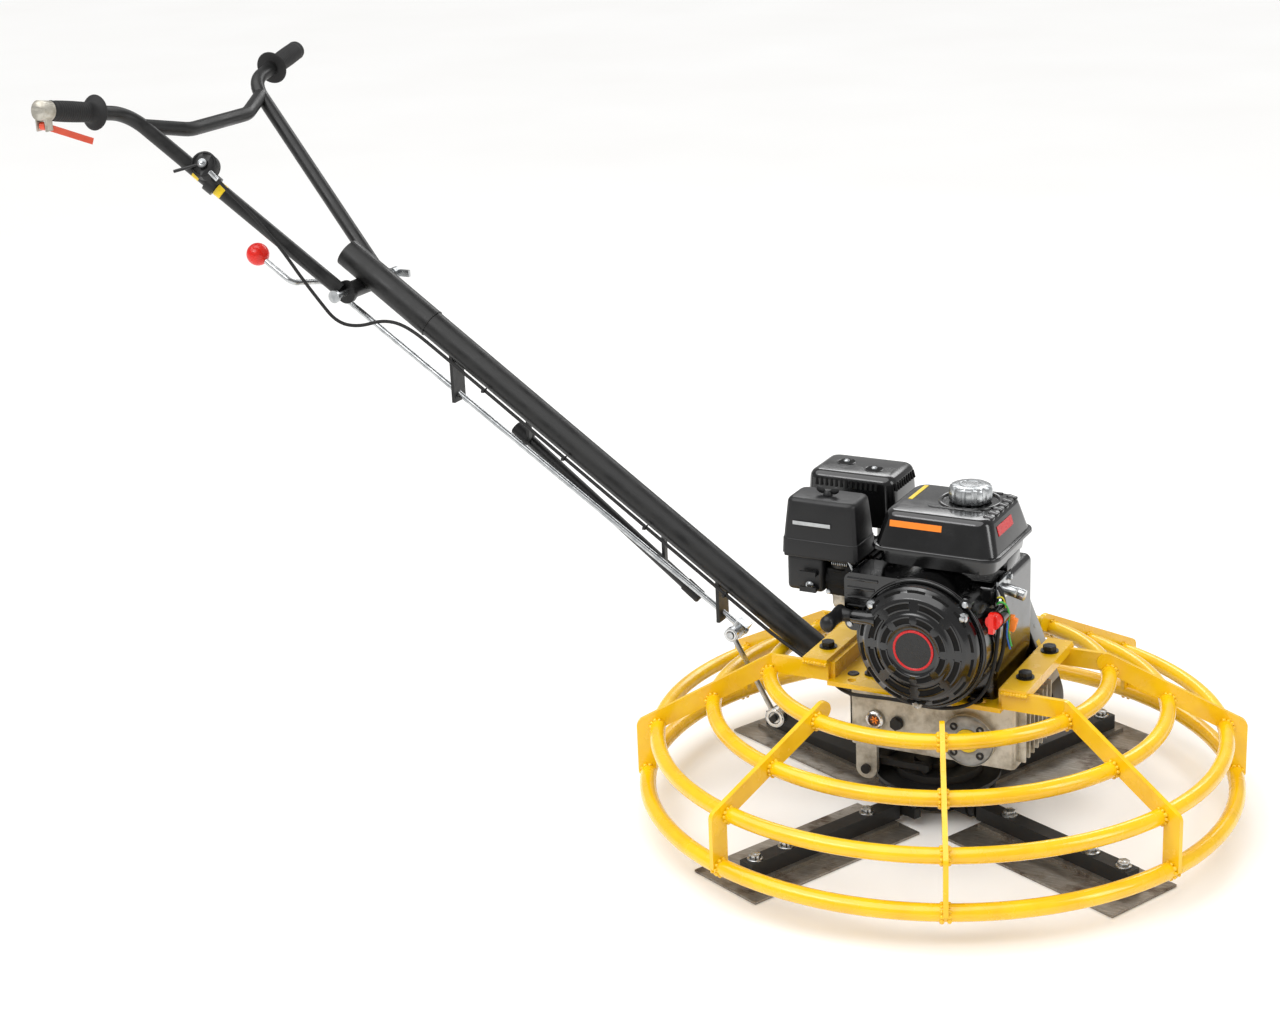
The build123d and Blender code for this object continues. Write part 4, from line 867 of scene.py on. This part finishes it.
class TROWEL_OT_air_cleaner(bpy.types.Operator):
    """Air cleaner: chamfered lid over a tray, elbow housing, plain label and screws."""
    bl_idname = "trowel.air_cleaner"
    bl_label = "Air cleaner"

    def execute(self, context):
        mesh = bmesh.new()
        put_pressing(mesh, (-216, -122, 476), (-88, -44, 543), 13, 6, 7, 3)
        put_pressing(mesh, (-218, -124, 452), (-86, -42, 478), 14, 1, 1.5, 3)
        put_box(mesh, mm(-214, -120, 446), mm(-90, -46, 453), 3, 2)
        put_box(mesh, mm(-210, -118, 390), mm(-147, -58, 450), 8, 4)
        put_bar(mesh, mm(-122, -95, 433), mm(-122, -95, 449), 20, 3)
        piece("air_cleaner_moulding", mesh, "abs", "chassis", ["air_cleaner"], 28)
        label = bmesh.new()
        put_box(label, mm(-196, -122.2, 502), mm(-132, -121.6, 508), 0.2, 1,
                Matrix.Rotation(-0.085, 4, "X"))
        piece("air_cleaner_label", label, "grey_film", "chassis")
        screws = bmesh.new()
        for x, y, z, way in ((-170, -118, 402, (0, -1, 0)), (-210, -92, 420, (-1, 0, 0))):
            spot = Vector((x, y, z)) * MM
            put_lathe(screws, [(0, 4), (3.4, 3.6), (5, 2), (6.6, 1.6), (6.6, 0)],
                      spot, way, 28)
        piece("air_cleaner_screws", screws, "zinc", "chassis")
        low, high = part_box("air_cleaner_nut")
        middle = Vector(((low.x + high.x) / 2, (low.y + high.y) / 2, low.z))
        nut = bmesh.new()
        put_lathe(nut, [(0, 8), (4, 8), (6, 6), (7.6, 1.4), (7.6, 0), (0, 0)],
                  middle, UP, 32)
        for side in (-1, 1):
            wing = bmesh.ops.create_icosphere(nut, subdivisions=3, radius=7 * MM)["verts"]
            place = Matrix.Translation(middle + mm(side * 12, 0, 8)) @ \
                Matrix.Rotation(side * -0.45, 4, "Y") @ Matrix.Diagonal((1.15, 0.32, 0.8, 1))
            bmesh.ops.transform(nut, matrix=place, verts=wing)
        piece("air_cleaner_wing_nut", nut, "abs", "cleaner_nut", ["air_cleaner_nut"], 40)
        return {"FINISHED"}


class TROWEL_OT_carburettor(bpy.types.Operator):
    """Carburettor: dark die-cast body, pale bowl, drain screw, throttle plate, spring and studs."""
    bl_idname = "trowel.carburettor"
    bl_label = "Carburettor"

    def execute(self, context):
        dark = bmesh.new()
        put_box(dark, mm(-147, -110, 386), mm(-103, -64, 432), 6, 4)
        put_bar(dark, mm(-147, -88, 410), mm(-100, -88, 410), 24, 2)
        put_ring(dark, mm(-125, -88, 428), UP, 20, 3, 48)
        put_box(dark, mm(-112, -113, 396), mm(-98, -109, 450), 1)
        piece("carburettor_body", dark, "dark_cast", "chassis", ["carburettor"])
        bowl = bmesh.new()
        put_lathe(bowl, [(0, -4), (3.6, -4), (4.4, 0), (9, 1), (15.6, 7),
                         (17.6, 12), (17.9, 26), (19.4, 27), (19.4, 30),
                         (0, 30)], Vector((-125, -88, 356.4)) * MM, UP, 56)
        piece("carburettor_bowl", bowl, "cast", "chassis")
        bright = bmesh.new()
        put_hex(bright, Vector((-125, -88, 352.4)) * MM, -UP, 9, 4.5)
        for index in range(9):
            put_ring(bright, Vector((-132 + 3.1 * index, -113, 443)) * MM, (1, 0, 0), 3.6, 0.7, 20, 6)
        put_bar(bright, mm(-142, -112, 392), mm(-142, -106, 392), 4, 0.8)
        put_bar(bright, mm(-104, -118, 452), mm(-92, -118, 428), 2, 0.6)
        piece("carburettor_fittings", bright, "zinc", "chassis")
        return {"FINISHED"}


class TROWEL_OT_muffler_guard(bpy.types.Operator):
    """Muffler guard: drawn steel cover with a row of slots, two dimples and their screws."""
    bl_idname = "trowel.muffler_guard"
    bl_label = "Muffler guard"

    def execute(self, context):
        mesh = bmesh.new()
        put_pressing(mesh, (-245, 28, 456), (-85, 142, 540), 20, 5, 13, 8)
        before = set(mesh.faces)
        for index in range(13):
            x = (-222 + 8.6 * index) * MM
            put_box(mesh, (x - 2 * MM, 30.6 * MM, 517 * MM), (x + 2 * MM, 33.6 * MM, 530 * MM), 0.5, 1,
                    Matrix.Rotation(-0.25, 4, "X"))
        for index in range(9):
            y = (44 + 9.4 * index) * MM
            put_box(mesh, (-90.6 * MM, y - 2 * MM, 517 * MM), (-87 * MM, y + 2 * MM, 530 * MM), 0.5, 1,
                    Matrix.Rotation(-0.25, 4, "Y"))
        for x, y in ((-195, 92), (-138, 72)):
            put_lathe(mesh, [(0, 0.5), (12, 0.5), (14, 0.1)], Vector((x, y, 540)) * MM, UP, 40)
        painted(mesh, 1, before)
        for x, y in ((-195, 92), (-138, 72)):
            put_ring(mesh, Vector((x, y, 539.6)) * MM, UP, 15, 1.6, 48, 10)
        piece("muffler_guard_pressing", mesh, ("engine", "slot_shadow"), "chassis", ["muffler_guard"], 32)
        screws = bmesh.new()
        for x, y in ((-195, 92), (-138, 72)):
            put_lathe(screws, [(0, 4), (3, 4), (5, 2.4), (5.4, 0.4), (5.4, 0)],
                      Vector((x, y, 540.4)) * MM, UP, 28)
        piece("muffler_guard_screws", screws, "zinc", "chassis")
        return {"FINISHED"}


# ---- Wiring and belt cover ----

def put_wire(name, points, radius, finish, body, replaced=(), ends=None):
    """A smooth cable through guide points in millimetres; given ends, it is left in world space on no body,
    and the bodies and bend places listed in ends are not used.
    """
    curve = bpy.data.curves.new(name, "CURVE")
    curve.dimensions = "3D"
    line = curve.splines.new("NURBS")
    line.points.add(len(points) - 1)
    for point, place in zip(line.points, points):
        point.co = (*[c * MM for c in place], 1)
    line.order_u = 3
    line.use_endpoint_u = True
    line.resolution_u = 8
    curve.bevel_depth = radius * MM
    curve.bevel_resolution = 4
    curve.use_fill_caps = True
    holder = bpy.data.objects.new(name + "_guide", curve)
    bpy.context.scene.collection.objects.link(holder)
    bpy.context.view_layer.update()
    data = bpy.data.meshes.new_from_object(holder.evaluated_get(bpy.context.evaluated_depsgraph_get()))
    bpy.data.objects.remove(holder)
    data.name = name
    data.materials.clear()
    data.materials.append(MATERIALS[finish])
    data.shade_smooth()
    made = bpy.data.objects.new(name, data)
    bpy.context.scene.collection.objects.link(made)
    if ends:
        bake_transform(made)
    else:
        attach(made, body)
    if replaced:
        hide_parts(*replaced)
    return made


class TROWEL_OT_wiring(bpy.types.Operator):
    """Stop-switch wires, their connector, the low-oil unit and its bracket."""
    bl_idname = "trowel.wiring"
    bl_label = "Wiring"

    def execute(self, context):
        put_wire("green_switch_wire", ((140, -112, 412), (146, -118, 420), (154, -112, 414), (157, -104, 396),
                                       (152, -98, 372), (153, -94, 352), (156, -92, 338)), 1.5, "wire_green",
                                       "chassis")
        put_wire("blue_switch_wire", ((141, -108, 404), (150, -110, 402), (154, -104, 380), (149, -96, 358),
                                      (151, -93, 344), (153, -90, 332)), 1.5, "wire_blue", "chassis")
        put_wire("yellow_switch_wire", ((138, -106, 420), (146, -108, 426), (151, -104, 408), (148, -98, 380),
                                        (155, -96, 360)), 1.2, "wire_yellow", "chassis")
        put_wire("switch_wire_sleeve", ((134, -92, 432), (144, -98, 424), (148, -98, 392), (146, -94, 356),
                                        (140, -88, 318), (130, -86, 290)), 3.2, "rubber", "chassis")
        plug = bmesh.new()
        put_box(plug, mm(150, -98, 364), mm(164, -88, 386), 1.6, 2,
                Matrix.Rotation(0.25, 4, "Y"))
        put_box(plug, mm(153, -99.5, 384), mm(161, -89.5, 390), 1)
        piece("wire_connector", plug, "orange_plastic", "chassis")
        unit = bmesh.new()
        put_bar(unit, mm(129, -70, 424), mm(156, -70, 418), 8, 1.5)
        put_bar(unit, mm(129, -48, 414), mm(162, -48, 406), 9, 1.5)
        put_box(unit, mm(127, -84, 400), mm(132, -30, 436), 1.5)
        put_hex(unit, Vector((132, -80, 405)) * MM, (1, 0, 0), 9, 5)
        put_hex(unit, Vector((132, -38, 430)) * MM, (1, 0, 0), 9, 5)
        piece("low_oil_unit", unit, "zinc", "chassis")
        return {"FINISHED"}


class TROWEL_OT_belt_cover_rim(bpy.types.Operator):
    """Grey rim plate round the belt cover's right side, with a plain yellow label and cover screws."""
    bl_idname = "trowel.belt_cover_rim"
    bl_label = "Belt cover rim"

    def execute(self, context):
        top, low = Vector((90.2, 0, 369.6)), Vector((160.9, 0, 196.4))
        out = Vector((0.926, 0, 0.378))
        half = (top - low).length / 2 - 6
        middle = (top + low) / 2 + out * 1.0
        lean = Matrix.Rotation(math.atan2(low.x - top.x, top.z - low.z) * -1, 4, "Y")
        mesh = bmesh.new()
        put_box(mesh, (middle + Vector((-0.7, 88, -half))) * MM, (middle + Vector((0.7, 131, half))) * MM,
                0.4, 2,
                lean)
        for share in (-0.82, 0.1, 0.82):
            spot = middle + (top - low).normalized() * half * share + out * 0.7
            spot.y = 109
            put_lathe(mesh, [(0, 1.8), (3, 1.5), (4.4, 0)], spot * MM, out, 24)
        piece("belt_cover_rim", mesh, "grey_sheet", "chassis")
        label = bmesh.new()
        centre = middle - (top - low).normalized() * half * 0.4 + out * 1.2
        put_box(label, (centre + Vector((-0.3, 93, -22))) * MM, (centre + Vector((0.3, 107, 22))) * MM, 0.2,
                1, lean)
        piece("belt_cover_label", label, "label_yellow", "chassis")
        return {"FINISHED"}


# ---- Handlebar and controls ----

def from_cad(name, node, keep, finish, body, replaced=()):
    """A piece cut from a copy of a CAD node: the faces whose middle passes keep."""
    mesh = bmesh.new()
    mesh.from_mesh(frame["nodes"][node].data)
    bmesh.ops.remove_doubles(mesh, verts=mesh.verts[:], dist=1e-6)
    gone = [f for f in mesh.faces if not keep(f.calc_center_median())]
    bmesh.ops.delete(mesh, geom=gone, context="FACES")
    return piece(name, mesh, finish, body, replaced, 30)


class TROWEL_OT_controls(bpy.types.Operator):
    """Throttle box, stop-lever clamp, and their screws and label."""
    bl_idname = "trowel.controls"
    bl_label = "Controls"

    def execute(self, context):
        from_cad("throttle_box", "control_clamps", lambda p: p.x > -1.33, "abs", "handlebar",
                 ["control_clamps"])
        from_cad("stop_lever_clamp", "control_clamps", lambda p: p.x <= -1.33, "cast", "handlebar",
                 ["control_clamps"])
        joints = {joint["name"]: joint for joint in frame["joints"]}
        turn = joints["throttle_turn"]
        axis = Vector(turn["axis"])
        middle = Vector(turn["pos_m"])
        screw = bmesh.new()
        put_lathe(screw, [(0, 19.4), (4.6, 19.4), (6, 18.4), (7.4, 18)],
                  middle, axis, 32)
        put_hex(screw, middle + axis * 18.6 * MM, axis, 7, 3.4)
        piece("throttle_screw", screw, "zinc", "throttle")
        sleeve = bmesh.new()
        way = Vector((-0.7057, -0.2442, 0.6651))
        for spot in ((-1289.4, -136.9, 1003.5), (-1256.3, -125.6, 972.5)):
            put_lathe(sleeve, [(12.6, -7), (12.9, -7), (12.9, 7), (12.6, 7)],
                      Vector(spot) * MM, way, 40)
        piece("throttle_marking_sleeves", sleeve, "label_yellow", "handlebar")
        ridge = bmesh.new()
        put_ring(ridge, middle + axis * 10.6 * MM, axis, 20.5, 1.2, 64, 8)
        put_ring(ridge, middle - axis * 9.6 * MM, axis, 22.6, 0.8, 64, 8)
        piece("throttle_box_ridges", ridge, "abs", "handlebar")
        return {"FINISHED"}


class TROWEL_OT_grips(bpy.types.Operator):
    """Rubber grips with a hand stop, a swelling barrel and fine ribs."""
    bl_idname = "trowel.grips"
    bl_label = "Handle grips"

    def execute(self, context):
        count = context.scene.trowel.fin_count
        mesh = bmesh.new()
        for side in (-1, 1):
            start = Vector((-1407, side * 246, 1120))
            way = (Vector((-1419, side * 345, 1139)) - start).normalized()
            outline = [(12.6, 0), (24, -0.5), (29, 0.5), (30, 3), (28, 5.5), (21, 7.5), (17.6, 12),
                       (16.6, 18)]
            for index in range(count):
                at = 22 + index * 68 / count
                swell = 16.4 + 0.8 * math.sin(math.pi * (at - 20) / 80)
                outline += [(swell, at), (swell + 0.5, at + 1.2), (swell + 0.5, at + 3), (swell, at + 4.2)]
            outline += [(17, 95), (17.4, 98), (16.6, 101), (14, 102), (12.6, 102)]
            put_lathe(mesh, outline, start * MM, way, 56)
        piece("ribbed_grips", mesh, "rubber", "handlebar", ["handle_grips"], 45)
        return {"FINISHED"}


CABLE_UPPER = ((-1246, -160, 1010), (-1220, -148, 976), (-1184, -130, 930), (-1145, -114, 872),
               (-1112, -103, 815), (-1080, -92, 768))
CABLE_LOWER = ((-1080, -92, 768), (-1066, -87, 747), (-1036, -66, 736), (-1000, -42, 746), (-962, -30, 736),
               (-905, -27, 698), (-325, -28, 297), (-270, -31, 263), (-217, -40, 240), (-165, -64, 220),
               (-120, -98, 216), (-80, -119, 226), (-20, -122, 231), (40, -121, 225), (95, -122, 237),
               (126, -122, 268), (140, -117, 320), (143, -114, 378))


class TROWEL_OT_cables(bpy.types.Operator):
    """Throttle cable from the bar to the engine, its ferrule and ties, and the starter rope."""
    bl_idname = "trowel.cables"
    bl_label = "Cables"

    def execute(self, context):
        put_wire("throttle_cable_bar_end", CABLE_UPPER, 3, "rubber", None, ["throttle_cable_upper"],
                 ("chassis", "handlebar", Vector(CABLE_UPPER[5]) * MM, Vector(CABLE_UPPER[1]) * MM))
        put_wire("throttle_cable_engine_end", CABLE_LOWER, 3, "rubber", "chassis", ["throttle_cable_lower"])
        ferrule = bmesh.new()
        way = (Vector(CABLE_UPPER[1]) - Vector(CABLE_UPPER[0])).normalized()
        start = Vector(CABLE_UPPER[0])
        put_bar(ferrule, (start - way * 4) * MM, (start + way * 16) * MM, 4, 1)
        piece("cable_ferrule", ferrule, "zinc", "handlebar")
        put_wire("pull_rope", ((-52, -167, 381), (-60, -167, 381), (-68, -167, 381), (-76, -167, 381)), 2,
                        "rubber", None, ["starter_rope"],
                        ("chassis", "starter", Vector((-64, -167, 381)) * MM, Vector((-74, -167, 381)) * MM))
        ties = bmesh.new()
        way = Vector((848, 0, -587)).normalized()
        for share in (0.16, 0.42, 0.68, 0.93):
            spot = Vector((-905, -27, 698)).lerp(Vector((-325, -28, 297)), share)
            put_ring(ties, spot * MM, way, 4.2, 1.1, 28, 8)
            put_box(ties, (spot + Vector((-3, -9, -2.5))) * MM, (spot + Vector((3, -3.5, 2.5))) * MM, 1)
        piece("cable_ties", ties, "nylon", "chassis")
        return {"FINISHED"}


# ---- Rotor ----

class TROWEL_OT_blade_bolts(bpy.types.Operator):
    """Zinc bolt heads and washers on the blade bars."""
    bl_idname = "trowel.blade_bolts"
    bl_label = "Blade bolts"

    def execute(self, context):
        for index in range(4):
            angle = math.radians(66 + 90 * index)
            along = Vector((math.cos(angle), math.sin(angle), 0))
            mesh = bmesh.new()
            for radius in (160, 333, 396):
                spot = along * radius * MM
                spot.z = 36 * MM
                put_lathe(mesh, [(0, 2.4), (11.6, 2.4), (12.5, 1.8), (12.5, 0)], spot, UP, 32)
                put_hex(mesh, spot + UP * 2.4 * MM, UP, 17, 7, 0.8)
            piece("blade_bolts_%d" % (index + 1), mesh, "zinc", "arm_%d" % (index + 1))
        return {"FINISHED"}


class TROWEL_OT_link_eyes(bpy.types.Operator):
    """Rod-end bearings: races at both ends of the pitch link, and a rubber boot at its lower end."""
    bl_idname = "trowel.link_eyes"
    bl_label = "Link eyes"

    def execute(self, context):
        mesh = bmesh.new()
        for x, z, size in ((-275, 122, 15.4), (-352, 259, 10.6)):
            for side in (-1, 1):
                spot = Vector((x, -35 + side * 5, z)) * MM
                put_lathe(mesh, [(size * 0.62, 0.2), (size * 0.7, 1.3), (size * 0.95, 1.3),
                                 (size, 0)], spot, (0, side, 0), 48)
        piece("link_eye_races", mesh, "bright", "link")
        boot = bmesh.new()
        put_ring(boot, Vector((-275, -35, 122)) * MM, (0, 1, 0), 8.2, 1.6, 40)
        piece("link_eye_boot", boot, "rubber", "link")
        return {"FINISHED"}


class TROWEL_OT_tube_details(bpy.types.Operator):
    """Weld fillets on the handle tube's lugs, a sleeve collar and the lifting pole's caps."""
    bl_idname = "trowel.tube_details"
    bl_label = "Handle tube details"

    def execute(self, context):
        way = Vector((848, 0, -587)).normalized()
        top = Vector((-1093, 0, 849))
        mesh = bmesh.new()
        put_ring(mesh, (top + way * 200) * MM, way, 24.6, 1.3, 72, 10)
        put_ring(mesh, (top + way * 1) * MM, way, 23.6, 1.6, 72, 10)
        piece("tube_collar", mesh, "black", "chassis")
        caps = bmesh.new()
        pole = (Vector((-440, 24, 292)) - Vector((-785, 24, 556))).normalized()
        for spot, side in ((Vector((-785, 24, 556)), -1), (Vector((-440, 24, 292)), 1)):
            put_lathe(caps, [(10.6, -34), (11.8, -33), (11.8, 0), (10, 2), (0, 2.4)],
                      spot * MM, pole * side, 40)
        piece("lifting_pole_caps", caps, "rubber", "chassis")
        return {"FINISHED"}


# ---- Panel and registration ----


CLASSES = (
    TrowelSettings,
    TROWEL_OT_stage,
    TROWEL_OT_finishes,
    TROWEL_OT_welds,
    TROWEL_OT_frame_bolts,
    TROWEL_OT_plate_details,
    TROWEL_OT_gearbox_details,
    TROWEL_OT_recoil_cover,
    TROWEL_OT_shroud_details,
    TROWEL_OT_starter_grip,
    TROWEL_OT_fuel_tank,
    TROWEL_OT_fuel_cap,
    TROWEL_OT_air_cleaner,
    TROWEL_OT_carburettor,
    TROWEL_OT_muffler_guard,
    TROWEL_OT_wiring,
    TROWEL_OT_belt_cover_rim,
    TROWEL_OT_controls,
    TROWEL_OT_grips,
    TROWEL_OT_cables,
    TROWEL_OT_blade_bolts,
    TROWEL_OT_link_eyes,
    TROWEL_OT_tube_details,
)


class TROWEL_PT_panel(bpy.types.Panel):
    """Lists the trowel's settings and steps."""
    bl_idname = "TROWEL_PT_panel"
    bl_label = "Power trowel"
    bl_space_type = "VIEW_3D"
    bl_region_type = "UI"
    bl_category = "Trowel"

    def draw(self, context):
        for name in TrowelSettings.__annotations__:
            self.layout.prop(context.scene.trowel, name)
        for step in CLASSES[1:]:
            self.layout.operator(step.bl_idname)


def register():
    for item in (*CLASSES, TROWEL_PT_panel):
        bpy.utils.register_class(item)
    bpy.types.Scene.trowel = PointerProperty(type=TrowelSettings)


def unregister():
    del bpy.types.Scene.trowel
    for item in reversed((*CLASSES, TROWEL_PT_panel)):
        bpy.utils.unregister_class(item)


def main():
    register()
    for step in CLASSES[1:]:
        group, name = step.bl_idname.split(".")
        getattr(getattr(bpy.ops, group), name)()


if __name__ == "__main__":
    main()
